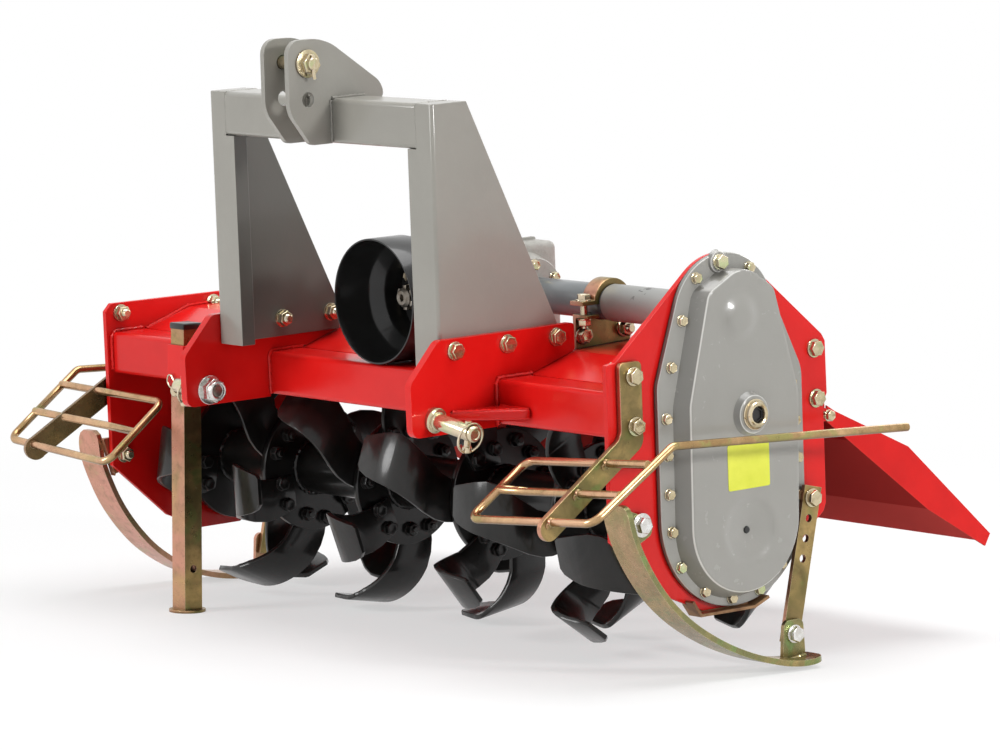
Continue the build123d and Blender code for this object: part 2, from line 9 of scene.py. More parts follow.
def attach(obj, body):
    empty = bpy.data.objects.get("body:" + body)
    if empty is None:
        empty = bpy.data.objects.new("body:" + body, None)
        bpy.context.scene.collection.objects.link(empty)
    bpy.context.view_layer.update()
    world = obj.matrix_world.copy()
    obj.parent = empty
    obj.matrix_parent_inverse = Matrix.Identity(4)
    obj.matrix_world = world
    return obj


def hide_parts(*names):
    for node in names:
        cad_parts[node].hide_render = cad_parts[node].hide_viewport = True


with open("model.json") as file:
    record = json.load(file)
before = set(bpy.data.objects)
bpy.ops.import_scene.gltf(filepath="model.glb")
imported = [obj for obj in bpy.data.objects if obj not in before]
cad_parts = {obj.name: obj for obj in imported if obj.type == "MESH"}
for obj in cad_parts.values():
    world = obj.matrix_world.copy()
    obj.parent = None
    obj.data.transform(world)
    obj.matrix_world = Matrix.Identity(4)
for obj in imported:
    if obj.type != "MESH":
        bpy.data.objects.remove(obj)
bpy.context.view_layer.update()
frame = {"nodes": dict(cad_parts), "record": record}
nodes = frame["nodes"]
scene = bpy.context.scene
random.seed(7)

# ================= where the machine stands =================
# Shapes are drawn in millimetres in the machine's own axes: X to the chain case, Y to the rear, Z up,
# zero at the mast's middle, the mast's front face and the lower hitch pins. BODY sets them down.
JOINTS = {joint["name"]: joint for joint in frame["record"]["behaviour"]["joints"]}
ROTOR_AT = Vector(JOINTS["rotor_spin"]["pos_m"])
PTO_AXIS = JOINTS["pto_spin"]["axis"]
LEAN = math.atan2(-PTO_AXIS[2], -PTO_AXIS[1])
ROTOR_Y, ROTOR_Z = 290.0, -160.0
BODY = (
    Matrix.Translation(ROTOR_AT) @ Matrix.Rotation(LEAN, 4, "X") @ Matrix.Scale(0.001, 4)
    @ Matrix.Translation((0, -ROTOR_Y, -ROTOR_Z))
)
UPRIGHT = Matrix.Translation(BODY @ Vector((0, 0, 0))) @ Matrix.Scale(0.001, 4)

PLATE_RIGHT, PLATE_LEFT = 484.0, -624.0      # outer faces of the end plates
PLATE_T = 8.0
GUARD_ARM_X = 492.0                          # outer face of the guard arm
SKID_X = 490.0                               # side of the skid bars turned to the machine
SKID_T = 8.0
MIRROR_X = (PLATE_RIGHT + PLATE_LEFT) / 2
HITCH_IN, HITCH_OUT = 241.0, 253.0           # faces of the hitch plates
PIN_Y = -22.0                                # lower hitch pins
CHEEK_IN, CHEEK_OUT = 22.25, 30.25           # faces of the top-link plates
TOP_PIN_Y, TOP_PIN_Z = -38.0, 460.0
DRIVE_Y, DRIVE_Z, TUBE_Z = 278.0, 128.0, 125.0
STAND_X, STAND_Y = -414.0, 66.0              # middle of the parking stand's tube
CASE_FLANGE_X, CASE_FRONT_X = 492.0, 512.0   # bolted rim and front of the chain case
PLUG_Y, PLUG_Z = 298.0, -7.0                 # oil-level boss on the chain case

X_OUT = Matrix.Rotation(math.radians(90), 4, "Y")
X_IN = Matrix.Rotation(math.radians(-90), 4, "Y")
Y_FRONT = Matrix.Rotation(math.radians(90), 4, "X")
Y_REAR = Matrix.Rotation(math.radians(-90), 4, "X")
Z_UP = Matrix.Identity(4)
Z_DOWN = Matrix.Rotation(math.radians(180), 4, "X")
SHAFT_AXIS = Matrix.Translation((0, 0, DRIVE_Z))
TUBE_AXIS = Matrix.Translation((0, DRIVE_Y, TUBE_Z))
MIRROR = Matrix.Translation((2 * MIRROR_X, 0, 0)) @ Matrix.Scale(-1, 4, (1, 0, 0))

# directions that the finishes' painted shade, painted highlights and painted reflections follow
TO_RIGHT = (1, 0, 0)
TO_FRONT = (0, -1, 0)
TO_GROUND = (0, 0, -1)


# ================= finishes =================
def dim(colour, share):
    """A colour at a share of its brightness."""
    return tuple(c * share for c in colour)


class Finish:
    """A painted or plated surface, built from pattern nodes on the piece's own coordinates."""

    def __init__(self, name, colour, roughness, metallic=0.0):
        self.material = bpy.data.materials.new(name)
        self.material.use_nodes = True
        self.tree = self.material.node_tree
        self.shader = self.tree.nodes["Principled BSDF"]
        self.set("Base Color", colour)
        self.set("Roughness", roughness)
        self.set("Metallic", metallic)
        self.place = self.tree.nodes.new("ShaderNodeTexCoord")

    def link(self, value, socket):
        """Feeds a socket with a pattern, or with a plain number, direction or colour."""
        if isinstance(value, bpy.types.NodeSocket):
            self.tree.links.new(value, socket)
        elif socket.type == "RGBA":
            socket.default_value = (*value, 1)
        else:
            socket.default_value = value

    def set(self, socket, value):
        """Feeds one of the shader's own sockets."""
        self.link(value, self.shader.inputs[socket])

    def math(self, kind, a, b, clamp=False):
        """One sum of two patterns or numbers."""
        node = self.tree.nodes.new("ShaderNodeMath")
        node.operation = kind
        node.use_clamp = clamp
        self.link(a, node.inputs[0])
        self.link(b, node.inputs[1])
        return node.outputs[0]

    def times(self, a, b):
        """One pattern or number scaled by another."""
        return self.math("MULTIPLY", a, b)

    def vector(self, kind, a, b, result="Value"):
        """One sum of two directions or places."""
        node = self.tree.nodes.new("ShaderNodeVectorMath")
        node.operation = kind
        self.link(a, node.inputs[0])
        self.link(b, node.inputs[1])
        return node.outputs[result]

    def length(self, place):
        """Distance of a place from the origin."""
        return self.vector("LENGTH", place, (0, 0, 0))

    def mapped(self, socket, value):
        """The piece's own coordinates, moved or stretched."""
        node = self.tree.nodes.new("ShaderNodeMapping")
        node.inputs[socket].default_value = value
        self.tree.links.new(self.place.outputs["Object"], node.inputs["Vector"])
        return node.outputs["Vector"]

    def noise(self, scale, detail=3.0, rough=0.55, twist=0.0, stretch=(1, 1, 1)):
        """A cloudy pattern; twist swirls it and stretch draws it out."""
        node = self.tree.nodes.new("ShaderNodeTexNoise")
        self.tree.links.new(self.mapped("Scale", stretch), node.inputs["Vector"])
        settings = {"Scale": scale, "Detail": detail, "Roughness": rough, "Distortion": twist}
        for socket, value in settings.items():
            node.inputs[socket].default_value = value
        return node.outputs["Fac"]

    def ramp(self, source, *stops):
        """Recasts a pattern by stops, each a place on it and the value or colour there."""
        node = self.tree.nodes.new("ShaderNodeValToRGB")
        elements = node.color_ramp.elements
        while len(elements) < len(stops):
            elements.new(0.5)
        for element, (at, value) in zip(elements, stops):
            element.position = at
            element.color = (*value, 1) if isinstance(value, tuple) else (value, value, value, 1)
        self.tree.links.new(source, node.inputs["Fac"])
        return node.outputs["Color"]

    def rise(self, source, low, high):
        """0 where the pattern is below low, 1 where it is above high."""
        return self.ramp(source, (low, 0.0), (high, 1.0))

    def fall(self, source, low, high):
        """1 where the pattern is below low, 0 where it is above high."""
        return self.ramp(source, (low, 1.0), (high, 0.0))

    def mix(self, amount, a, b):
        """Colour a where the amount is 0, b where it is 1."""
        node = self.tree.nodes.new("ShaderNodeMix")
        node.data_type = "RGBA"
        for value, index in ((amount, 0), (a, 6), (b, 7)):
            self.link(value, node.inputs[index])
        return node.outputs[2]

    def blend(self, source, low, high, a, b):
        """Colour a where the pattern is below low, b where it is above high."""
        return self.mix(self.rise(source, low, high), a, b)

    def over(self, shade, tint, pattern, share):
        """The shade with a share of the tint laid over it where the pattern shows."""
        return self.mix(self.times(pattern, share), shade, tint)

    def facing(self, axis):
        """How much the surface faces along an axis of the piece, from -1 to 1."""
        return self.vector("DOT_PRODUCT", self.place.outputs["Normal"], axis)

    def edges(self, width):
        """1 on the piece's corners and 0 on its flats."""
        bevel = self.tree.nodes.new("ShaderNodeBevel")
        bevel.samples = 4
        bevel.inputs["Radius"].default_value = width
        geometry = self.tree.nodes.new("ShaderNodeNewGeometry")
        agree = self.vector("DOT_PRODUCT", bevel.outputs["Normal"], geometry.outputs["Normal"])
        return self.rise(self.math("SUBTRACT", 1.0, agree, clamp=True), 0.02, 0.2)

    def hollows(self, reach):
        """1 in tight corners and 0 in the open; the finishes paint shade with it."""
        node = self.tree.nodes.new("ShaderNodeAmbientOcclusion")
        node.samples = 4
        node.inputs["Distance"].default_value = reach
        return self.fall(node.outputs["AO"], 0.15, 0.8)

    def roughen(self, pattern, span, least):
        """Roughness that follows a pattern upwards from its least."""
        self.set("Roughness", self.math("ADD", self.times(pattern, span), least))

    def lacquer(self, shine, coat, coat_rough):
        """How strongly the surface mirrors, and the clear coat over it."""
        self.set("Specular IOR Level", shine)
        self.set("Coat Weight", coat)
        self.set("Coat Roughness", coat_rough)

    def bump(self, height, depth, strength, under=None):
        """Relief in metres; under is a coarser relief that it rides on."""
        node = self.tree.nodes.new("ShaderNodeBump")
        node.inputs["Strength"].default_value = strength
        node.inputs["Distance"].default_value = depth
        self.tree.links.new(height, node.inputs["Height"])
        if under is not None:
            self.tree.links.new(under, node.inputs["Normal"])
        self.tree.links.new(node.outputs["Normal"], self.shader.inputs["Normal"])
        return node.outputs["Normal"]


def gloss_enamel(name, colour, deep, pale, rough, coat, shine, pressed=False, right_face_shade=False):
    """Sprayed paint: faint orange peel and a tone that wanders at random, corners paler partly from thinner
    paint and partly as a painted highlight, and painted shade in tight corners.

    pressed paints shade on the front wall and a highlight along the rolled rim of a pressing; the flag after
    it paints shade on the faces turned to the right.
    """
    f = Finish(name, colour, rough)
    fine = f.noise(60.0, 3, 0.6)
    shade = f.blend(f.noise(5.0, 4, 0.6), 0.3, 0.7, deep, colour)
    shade = f.over(shade, pale, f.rise(fine, 0.5, 0.8), 0.05)
    # paler corners: partly thinner paint, partly a painted highlight
    shade = f.over(shade, pale, f.edges(0.0016), 0.45)
    # painted shade on the faces turned to the right
    if right_face_shade:
        inside = f.ramp(f.facing(TO_RIGHT), (0.5, 0.0), (0.95, 0.78))
        shade = f.mix(inside, shade, dim(deep, 0.2))
    # painted shade on the pressing's front wall and a painted highlight along its rolled rim
    if pressed:
        wall = f.ramp(f.facing(TO_FRONT), (0.3, 0.0), (0.75, 0.5))
        shade = f.mix(wall, shade, dim(colour, 0.45))
        # painted highlight along the rolled rim
        across = f.facing(TO_RIGHT)
        rim_highlight = f.times(f.rise(across, 0.66, 0.74), f.fall(across, 0.84, 0.93))
        shade = f.over(shade, (0.80, 0.79, 0.75), rim_highlight, 0.75)
    # painted shade in tight corners and creases
    shade = f.over(shade, dim(deep, 0.25), f.hollows(0.035), 0.6)
    f.set("Base Color", shade)
    f.roughen(fine, 0.05, rough - 0.02)
    f.lacquer(shine, coat, 0.12)
    wave = f.bump(f.noise(26.0, 2, 0.5), 0.0012, 0.25)
    f.bump(f.noise(260.0, 2, 0.5), 0.0003, 0.3, wave)
    return f


def zinc_plate(name, gold, olive, rose, rough, shaded, pale=(0.80, 0.70, 0.46)):
    """Yellow-passivated zinc: gold that drifts at random to olive, green and rose, with rubbed corners.
    Olive on faces turned to the right and more rose on faces turned to the front are painted reflections;
    undersides and tight corners get painted shade.

    shaded is how far the undersides are painted dark as shade.
    """
    f = Finish(name, gold, rough, 0.88)
    speck = f.noise(75.0, 4, 0.65)
    # masks by the way a face is turned: for painted reflections on front and right faces, painted shade
    # underneath
    front = f.rise(f.facing(TO_FRONT), 0.15, 0.9)
    side = f.rise(f.facing(TO_RIGHT), 0.2, 0.95)
    under = f.rise(f.facing(TO_GROUND), 0.1, 0.9)
    patch = f.ramp(f.noise(16.0, 3, 0.55, 1.0), (0.35, 0.15), (0.6, 0.85))
    green = tuple(c * k for c, k in zip(olive, (0.95, 1.55, 1.2)))
    greened = f.ramp(f.noise(13.0, 2, 0.5, 2.2), (0.56, 0.0), (0.68, 0.7))
    rosy = f.ramp(f.noise(6.0, 3, 0.5, 1.6), (0.36, 0.25), (0.6, 1.0))
    shade = f.blend(f.noise(9.0, 4, 0.62, 1.2), 0.38, 0.6, olive, gold)
    # olive laid on faces turned to the right: painted reflection
    shade = f.over(shade, olive, side, patch)
    shade = f.mix(greened, shade, green)
    # rose at random, more on faces turned to the front: partly painted reflection
    shade = f.over(shade, rose, rosy, f.math("ADD", f.times(front, 0.8), 0.12))
    shade = f.over(shade, (0.07, 0.05, 0.02), f.rise(speck, 0.52, 0.75), 0.4)
    # painted shade on the undersides
    shade = f.over(shade, dim(olive, 0.25), under, shaded)
    # painted shade in tight corners
    shade = f.over(shade, dim(olive, 0.12), f.hollows(0.03), 0.8)
    shade = f.over(shade, pale, f.edges(0.0012), 0.6)
    f.set("Base Color", shade)
    f.roughen(speck, 0.2, rough - 0.1)
    f.bump(f.noise(420.0, 3, 0.6), 0.0002, 0.3)
    return f


GREY, GREY_DEEP, GREY_PALE = (0.330, 0.318, 0.282), (0.295, 0.284, 0.252), (0.46, 0.45, 0.41)

red = gloss_enamel(
    "red_enamel", (0.78, 0.011, 0.009), (0.64, 0.007, 0.006), (0.88, 0.06, 0.045),
    rough=0.25, coat=0.2, shine=0.2,
)
grey = gloss_enamel("grey_enamel", GREY, GREY_DEEP, GREY_PALE, rough=0.3, coat=0.4, shine=0.35)
# copy of the grey with painted shade on faces turned to the right, for the left mast leg
grey_painted_shade = gloss_enamel(
    "grey_enamel_painted_shade", GREY, GREY_DEEP, GREY_PALE, rough=0.3, coat=0.4, shine=0.35, right_face_shade=True
)
case_grey = gloss_enamel(
    "case_enamel", (0.325, 0.318, 0.292), (0.300, 0.293, 0.268), (0.40, 0.39, 0.37),
    rough=0.26, coat=0.55, shine=0.4, pressed=True,
)
# darker bluish grey of the drive tube: partly its own paint, partly painted shadow of the mast
tube_grey_and_painted_shadow = gloss_enamel(
    "tube_enamel_and_painted_shadow", (0.175, 0.19, 0.195), (0.13, 0.14, 0.145), (0.3, 0.31, 0.31),
    rough=0.28, coat=0.3, shine=0.4,
)
zinc = zinc_plate(
    "yellow_zinc_plate", (0.50, 0.36, 0.13), (0.15, 0.135, 0.045), (0.62, 0.29, 0.21), rough=0.3, shaded=0.1
)
rod_zinc = zinc_plate(
    "tan_zinc_rod", (0.66, 0.45, 0.23), (0.34, 0.22, 0.09), (0.72, 0.42, 0.27), rough=0.24, shaded=0.75
)
rose_zinc = zinc_plate(
    "rose_zinc_plate", (0.62, 0.31, 0.22), (0.40, 0.25, 0.13), (0.68, 0.31, 0.24), rough=0.3, shaded=0.1
)
green_zinc = zinc_plate(
    "green_zinc_plate", (0.52, 0.38, 0.15), (0.19, 0.20, 0.085), (0.52, 0.34, 0.20), rough=0.28, shaded=0.2
)
# darker copy of the yellow zinc: painted shade for the left guard arm
zinc_painted_shade = zinc_plate(
    "yellow_zinc_painted_shade", (0.20, 0.13, 0.045), (0.06, 0.05, 0.018), (0.40, 0.22, 0.12), rough=0.26, shaded=0.3
)
bolt_zinc = zinc_plate(
    "bolt_zinc", (0.80, 0.70, 0.49), (0.50, 0.42, 0.25), (0.76, 0.62, 0.46), rough=0.17, shaded=0.5,
    pale=(0.98, 0.95, 0.86),
)


def cast_grey():
    """Grey paint over a sand casting: pitted, dusty in the hollows."""
    f = Finish("painted_casting", (0.36, 0.35, 0.315), 0.55)
    grain = f.noise(170.0, 5, 0.7)
    shade = f.blend(f.noise(18.0, 4, 0.6), 0.3, 0.7, (0.30, 0.29, 0.26), (0.41, 0.40, 0.37))
    f.set("Base Color", f.over(shade, (0.18, 0.17, 0.15), f.rise(grain, 0.55, 0.8), 0.5))
    f.roughen(grain, 0.3, 0.38)
    f.bump(grain, 0.0012, 0.6)
    return f


def specked_grey():
    """Grey paint with a few small chips down to dark metal."""
    f = Finish("chipped_grey_enamel", (0.40, 0.39, 0.36), 0.4)
    chips = f.rise(f.noise(85.0, 2, 0.5, 0.6), 0.62, 0.64)
    where = f.rise(f.noise(16.0, 2, 0.5), 0.50, 0.56)
    chip = f.times(chips, where)
    shade = f.blend(f.noise(9.0, 3, 0.5), 0.3, 0.7, (0.32, 0.325, 0.31), (0.40, 0.405, 0.39))
    f.set("Base Color", f.mix(chip, shade, (0.045, 0.042, 0.038)))
    f.roughen(f.noise(70.0), 0.16, 0.32)
    f.bump(f.times(chip, -1.0), 0.0004, 0.6)
    return f


def rotor_black():
    """Dipped black paint, worn to a dull sheen towards the tine tips; its corners are paler, partly worn and
    partly a painted highlight.
    """
    f = Finish("rotor_black_paint", (0.014, 0.014, 0.013), 0.42)
    from_axis = f.vector("MULTIPLY", f.mapped("Location", (0, -ROTOR_AT.y, -ROTOR_AT.z)), (0, 1, 1), "Vector")
    tip = f.rise(f.length(from_axis), 0.10, 0.19)
    drift = f.noise(14.0, 4, 0.6, 0.6)
    speck = f.noise(120.0, 4, 0.65)
    shade = f.blend(drift, 0.35, 0.7, (0.004, 0.004, 0.0038), (0.011, 0.0105, 0.0095))
    shade = f.over(shade, (0.022, 0.0215, 0.020), tip, f.ramp(drift, (0.35, 0.1), (0.7, 0.75)))
    # paler corners: partly wear, partly a painted highlight
    shade = f.over(shade, (0.16, 0.155, 0.15), f.edges(0.0014), 0.5)
    f.set("Base Color", shade)
    f.roughen(speck, 0.24, 0.2)
    f.lacquer(0.22, 0.38, 0.13)
    wave = f.bump(f.noise(38.0, 3, 0.5), 0.0012, 0.3)
    f.bump(speck, 0.0004, 0.35, wave)
    return f


def moulded_plastic(name, colour, rough):
    """Black plastic or rubber with a fine moulded grain."""
    f = Finish(name, colour, rough)
    cloud = f.noise(20.0, 3, 0.6)
    f.set("Base Color", f.blend(cloud, 0.3, 0.7, colour, tuple(c * 1.9 + 0.002 for c in colour)))
    f.roughen(cloud, 0.25, rough - 0.1)
    f.lacquer(0.3, 0.4, 0.1)
    f.bump(f.noise(300.0, 3, 0.6), 0.0002, 0.3)
    return f


def bright_zinc():
    """Silvery plating without the yellow."""
    f = Finish("bright_zinc", (0.72, 0.71, 0.69), 0.25, 0.95)
    speck = f.noise(140.0, 4, 0.6)
    f.set("Base Color", f.blend(speck, 0.4, 0.7, (0.62, 0.60, 0.56), (0.80, 0.80, 0.79)))
    f.roughen(speck, 0.25, 0.13)
    f.bump(speck, 0.0002, 0.25)
    return f


def machined_steel():
    """Bare turned steel, stained by oil, with the tool's rings round it."""
    f = Finish("machined_steel", (0.32, 0.29, 0.25), 0.3, 0.9)
    stain = f.noise(60.0, 4, 0.65)
    f.set("Base Color", f.blend(stain, 0.4, 0.7, (0.16, 0.135, 0.105), (0.36, 0.33, 0.29)))
    f.roughen(stain, 0.3, 0.2)
    f.bump(f.noise(500.0, 2, 0.5, 0.0, (0.15, 1, 0.15)), 0.0002, 0.3)
    return f


def rusty_shoe():
    """Browned metal of the shoe at the foot of the chain case."""
    f = Finish("browned_shoe", (0.30, 0.15, 0.07), 0.42, 0.55)
    speck = f.noise(140.0, 4, 0.65)
    shade = f.blend(f.noise(16.0, 4, 0.65, 0.8), 0.35, 0.65, (0.16, 0.07, 0.03), (0.46, 0.27, 0.13))
    f.set("Base Color", f.over(shade, (0.10, 0.06, 0.04), speck, 0.4))
    f.roughen(speck, 0.3, 0.28)
    f.bump(speck, 0.0004, 0.4)
    return f


def label_yellow():
    """Yellow film, slightly uneven and dulled."""
    f = Finish("yellow_film", (0.74, 0.78, 0.06), 0.4)
    cloud = f.noise(30.0, 4, 0.6)
    f.set("Base Color", f.blend(cloud, 0.3, 0.7, (0.68, 0.72, 0.05), (0.78, 0.80, 0.08)))
    f.roughen(cloud, 0.2, 0.3)
    f.bump(f.noise(200.0), 0.0001, 0.3)
    return f


def board_red():
    """Red paint with painted shade on the side turned to the rotor, darker on the faces that also turn to the
    front, and paler corners.
    """
    f = Finish("board_enamel", (0.74, 0.011, 0.009), 0.34)
    # painted shade on the side turned to the rotor, darker where it also faces the front
    painted_shade_mask = f.rise(f.facing((0, -0.8, -0.6)), 0.0, 0.5)
    painted_shade_colour = f.ramp(f.facing(TO_FRONT), (0.545, (0.44, 0.055, 0.048)), (0.60, (0.25, 0.011, 0.010)))
    shade = f.blend(f.noise(8.0, 4, 0.6), 0.3, 0.7, (0.60, 0.008, 0.007), (0.76, 0.012, 0.010))
    shade = f.mix(painted_shade_mask, shade, painted_shade_colour)
    # paler corners: partly thinner paint, partly a painted highlight
    shade = f.over(shade, (0.80, 0.09, 0.07), f.edges(0.0016), 0.5)
    f.set("Base Color", shade)
    f.roughen(f.noise(60.0), 0.16, 0.28)
    f.set("Specular IOR Level", f.math("SUBTRACT", 0.2, f.times(painted_shade_mask, 0.2), clamp=True))
    f.bump(f.noise(260.0, 2, 0.5), 0.0003, 0.3)
    return f


casting = cast_grey()
chipped = specked_grey()
black = rotor_black()
plastic = moulded_plastic("guard_plastic", (0.005, 0.005, 0.005), 0.3)
rubber = moulded_plastic("gasket_rubber", (0.012, 0.012, 0.012), 0.6)
yellow = label_yellow()
bright = bright_zinc()
steel = machined_steel()
brown = rusty_shoe()

# the left mast leg, the left guard arm and the drive tube take finishes with painted shade
NODE_FINISH = {
    "cross_beam": red, "end_plate_left": red, "end_plate_right": red, "hood": red, "hitch_plate_left": red,
    "hitch_plate_right": red, "mast_leg_left": grey_painted_shade, "mast_leg_right": grey, "mast_crossbar": grey,
    "top_link_plate_left": grey, "top_link_plate_right": grey, "top_link_pin": bolt_zinc,
    "gearbox_housing": casting, "pto_shaft": steel, "pto_guard": plastic, "pto_guard_back": plastic,
    "drive_tube": tube_grey_and_painted_shadow, "drive_sleeve": chipped, "tube_clamp": zinc, "clamp_bracket": zinc,
    "case_gasket": rubber, "chain_case_cover": grey, "case_shoe": brown, "bearing_housing_left": black,
    "rotor_shaft": black, "tailboard": board_red(), "hinge_knuckles": red, "hinge_pin": bolt_zinc,
    "skid_left": zinc, "skid_right": zinc, "skid_strut_left": zinc, "skid_strut_right": zinc,
    "side_guard_left": rod_zinc, "side_guard_right": rod_zinc, "guard_arm_left": zinc_painted_shade,
    "guard_arm_right": zinc, "stand_leg": zinc, "stand_cap": plastic, "stand_sleeve": red,
    "hitch_pin_left": bolt_zinc, "hitch_pin_right": bolt_zinc,
}
NODE_CORNER = 0.001
SQUARE_CORNERED = ("cross_beam", "side_guard_left", "side_guard_right")


def soften(item, width):
    """Rounds an object's corners by a width in metres."""
    corners = item.modifiers.new("corners", "BEVEL")
    corners.limit_method = "ANGLE"
    corners.angle_limit = math.radians(35)
    corners.width = width
    corners.segments = 2
    corners.harden_normals = True


def dress_node(name, node):
    """Softens the corners of a carried-over solid and gives it its finish; the rotor's are all black."""
    node.data.materials[0] = NODE_FINISH.get(name, black).material
    weld = node.modifiers.new("weld", "WELD")
    weld.merge_threshold = 0.00002
    flat = node.modifiers.new("flats", "DECIMATE")
    flat.decimate_type = "DISSOLVE"
    flat.angle_limit = math.radians(0.6)
    if name not in SQUARE_CORNERED:
        soften(node, NODE_CORNER)


for node_name, node_object in nodes.items():
    dress_node(node_name, node_object)


# ================= making pieces =================
def at(x, y, z):
    """Moves a drawn shape to a place."""
    return Matrix.Translation((x, y, z))


def outward(side):
    """Turns a shape that is drawn up along Z to the right for 1 and to the left for -1."""
    return X_OUT if side > 0 else X_IN


def as_object(bm, name, finish):
    """Turns a drawn shape into an object of the scene with its finish."""
    mesh = bpy.data.meshes.new(name)
    bm.to_mesh(mesh)
    bm.free()
    mesh.materials.append(finish.material)
    item = bpy.data.objects.new(name, mesh)
    scene.collection.objects.link(item)
    return item


def finish_piece(bm, name, finish, body, replaces=(), place=BODY, sharp=32, corner=0.0):
    """Closes a drawn shape, sets it down on the machine and hands it to its body.

    Edges turned by more than sharp degrees stay crisp; corner is a rounding in metres.
    """
    bmesh.ops.remove_doubles(bm, verts=bm.verts, dist=0.01)
    bmesh.ops.recalc_face_normals(bm, faces=bm.faces)
    bmesh.ops.transform(bm, matrix=place, verts=bm.verts)
    limit = math.radians(sharp)
    for face in bm.faces:
        face.smooth = True
    for edge in bm.edges:
        edge.smooth = len(edge.link_faces) == 2 and edge.calc_face_angle(0.0) < limit
    piece = as_object(bm, name, finish)
    if corner:
        soften(piece, corner)
    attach(piece, body)
    for node in replaces:
        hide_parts(node)
    return piece


def add_part(bm, part, place=Z_UP):
    """Sets a drawn shape down inside a piece."""
    bmesh.ops.transform(part, matrix=place, verts=part.verts)
    mesh = bpy.data.meshes.new("part")
    part.to_mesh(mesh)
    part.free()
    bm.from_mesh(mesh)
    bpy.data.meshes.remove(mesh)


def verts_in(geom):
    """The corners among the corners, edges and faces that an operator gives back."""
    return [g for g in geom if isinstance(g, bmesh.types.BMVert)]


def round_edges(bm, edges, offset, segments=2, affect="EDGES"):
    """Rounds edges, or corners of a flat outline, by an offset."""
    bmesh.ops.bevel(bm, geom=edges, offset=offset, segments=segments, affect=affect, profile=0.5, material=-1)


def edges_sharper_than(bm, degrees):
    """Edges where the faces turn by more than an angle."""
    return [e for e in bm.edges if e.calc_face_angle(0) > math.radians(degrees)]


def thicken(part, depth):
    """Pulls a flat face out along X."""
    grown = bmesh.ops.extrude_face_region(part, geom=part.faces[:])["geom"]
    bmesh.ops.translate(part, verts=verts_in(grown), vec=(depth, 0, 0))


def plate(bm, outline, x0, x1, holes=(), place=Z_UP):
    """A flat plate standing in Y and Z. Corners are y, z and a rounding; holes are y, z and a radius."""
    part = bmesh.new()
    verts = [part.verts.new((0, y, z)) for y, z, _ in outline]
    part.faces.new(verts)
    for rounding in sorted({r for _, _, r in outline if r}):
        chosen = [v for v, (_, _, r) in zip(verts, outline) if r == rounding]
        round_edges(part, chosen, rounding, 6, "VERTICES")
    if holes:
        for y, z, radius in holes:
            bmesh.ops.create_circle(part, segments=32, radius=radius, matrix=at(0, y, z) @ X_OUT)
        bmesh.ops.delete(part, geom=part.faces[:], context="FACES_ONLY")
        bmesh.ops.triangle_fill(part, edges=part.edges[:], use_beauty=True)
    thicken(part, x1 - x0)
    add_part(bm, part, place @ at(x0, 0, 0))


def turned(bm, profile, place, steps=48):
    """A round part: profile holds pairs of height along its axis and radius."""
    part = bmesh.new()
    verts = [part.verts.new((r, 0, h)) for h, r in profile]
    edges = [part.edges.new(pair) for pair in zip(verts, verts[1:])]
    bmesh.ops.spin(
        part, geom=verts + edges, cent=(0, 0, 0), axis=(0, 0, 1), angle=math.tau, steps=steps, use_merge=True,
        use_duplicate=False,
    )
    bmesh.ops.remove_doubles(part, verts=part.verts, dist=0.005)
    add_part(bm, part, place)


def block(bm, x0, x1, y0, y1, z0, z1, corner, segments=2, place=Z_UP):
    """A block with rounded corners."""
    part = bmesh.new()
    sized = at((x0 + x1) / 2, (y0 + y1) / 2, (z0 + z1) / 2) @ Matrix.Diagonal((x1 - x0, y1 - y0, z1 - z0, 1))
    bmesh.ops.create_cube(part, size=1.0, matrix=sized)
    round_edges(part, part.edges[:], corner, segments)
    add_part(bm, part, place)


def along(points, step):
    """Places about a step apart on a run of straight lines."""
    places = []
    for a, b in zip(points, points[1:]):
        a, b = Vector(a), Vector(b)
        count = max(1, round((b - a).length / step))
        places += [a.lerp(b, i / count) for i in range(count)]
    return places + [Vector(points[-1])]


def ring_points(centre, radius, axis, count=36, start=0.0, sweep=math.tau):
    """Places round a circle about the x, y or z axis."""
    places = []
    for i in range(count + 1):
        a = start + sweep * i / count
        u, v = radius * math.cos(a), radius * math.sin(a)
        offset = {"x": (0, u, v), "y": (u, 0, v), "z": (u, v, 0)}[axis]
        places.append(Vector(centre) + Vector(offset))
    return places


def round_bar(bm, places, radius, ripple=0.0, closed=False, sides=2):
    """A wire, rod or weld bead laid along the places; ripple makes its thickness pulse."""
    curve = bpy.data.curves.new("bar", "CURVE")
    curve.dimensions = "3D"
    curve.bevel_depth = radius
    curve.bevel_resolution = sides
    curve.use_fill_caps = True
    spline = curve.splines.new("POLY")
    if closed:
        places = places[:-1]
    spline.points.add(len(places) - 1)
    for i, (point, place) in enumerate(zip(spline.points, places)):
        wander = [random.uniform(-0.12, 0.12) * radius * bool(ripple) for _ in range(3)]
        point.co = (*(Vector(place) + Vector(wander)), 1)
        point.radius = 1.0 - ripple * (i % 2) + (random.uniform(-0.08, 0.08) if ripple else 0.0)
    spline.use_cyclic_u = closed
    holder = bpy.data.objects.new("bar", curve)
    mesh = bpy.data.meshes.new_from_object(holder)
    bm.from_mesh(mesh)
    bpy.data.objects.remove(holder)
    bpy.data.curves.remove(curve)
    bpy.data.meshes.remove(mesh)


WELD_RIPPLE = 0.3


def weld(bm, points, radius, step=4.0):
    """A bead of weld along a run of straight lines."""
    round_bar(bm, along(points, step), radius, WELD_RIPPLE)


def weld_at(bm, x, run, radius, step=4.0):
    """A bead that stays at one x; its run is given in y and z."""
    weld(bm, [(x, y, z) for y, z in run], radius, step)


def weld_ring(bm, centre, radius, axis, bead):
    """A bead of weld round a bar or tube."""
    round_bar(bm, ring_points(centre, radius, axis, int(radius * 1.5)), bead, WELD_RIPPLE, True)


# ---- fasteners ----
THREAD_PITCH = 1.6


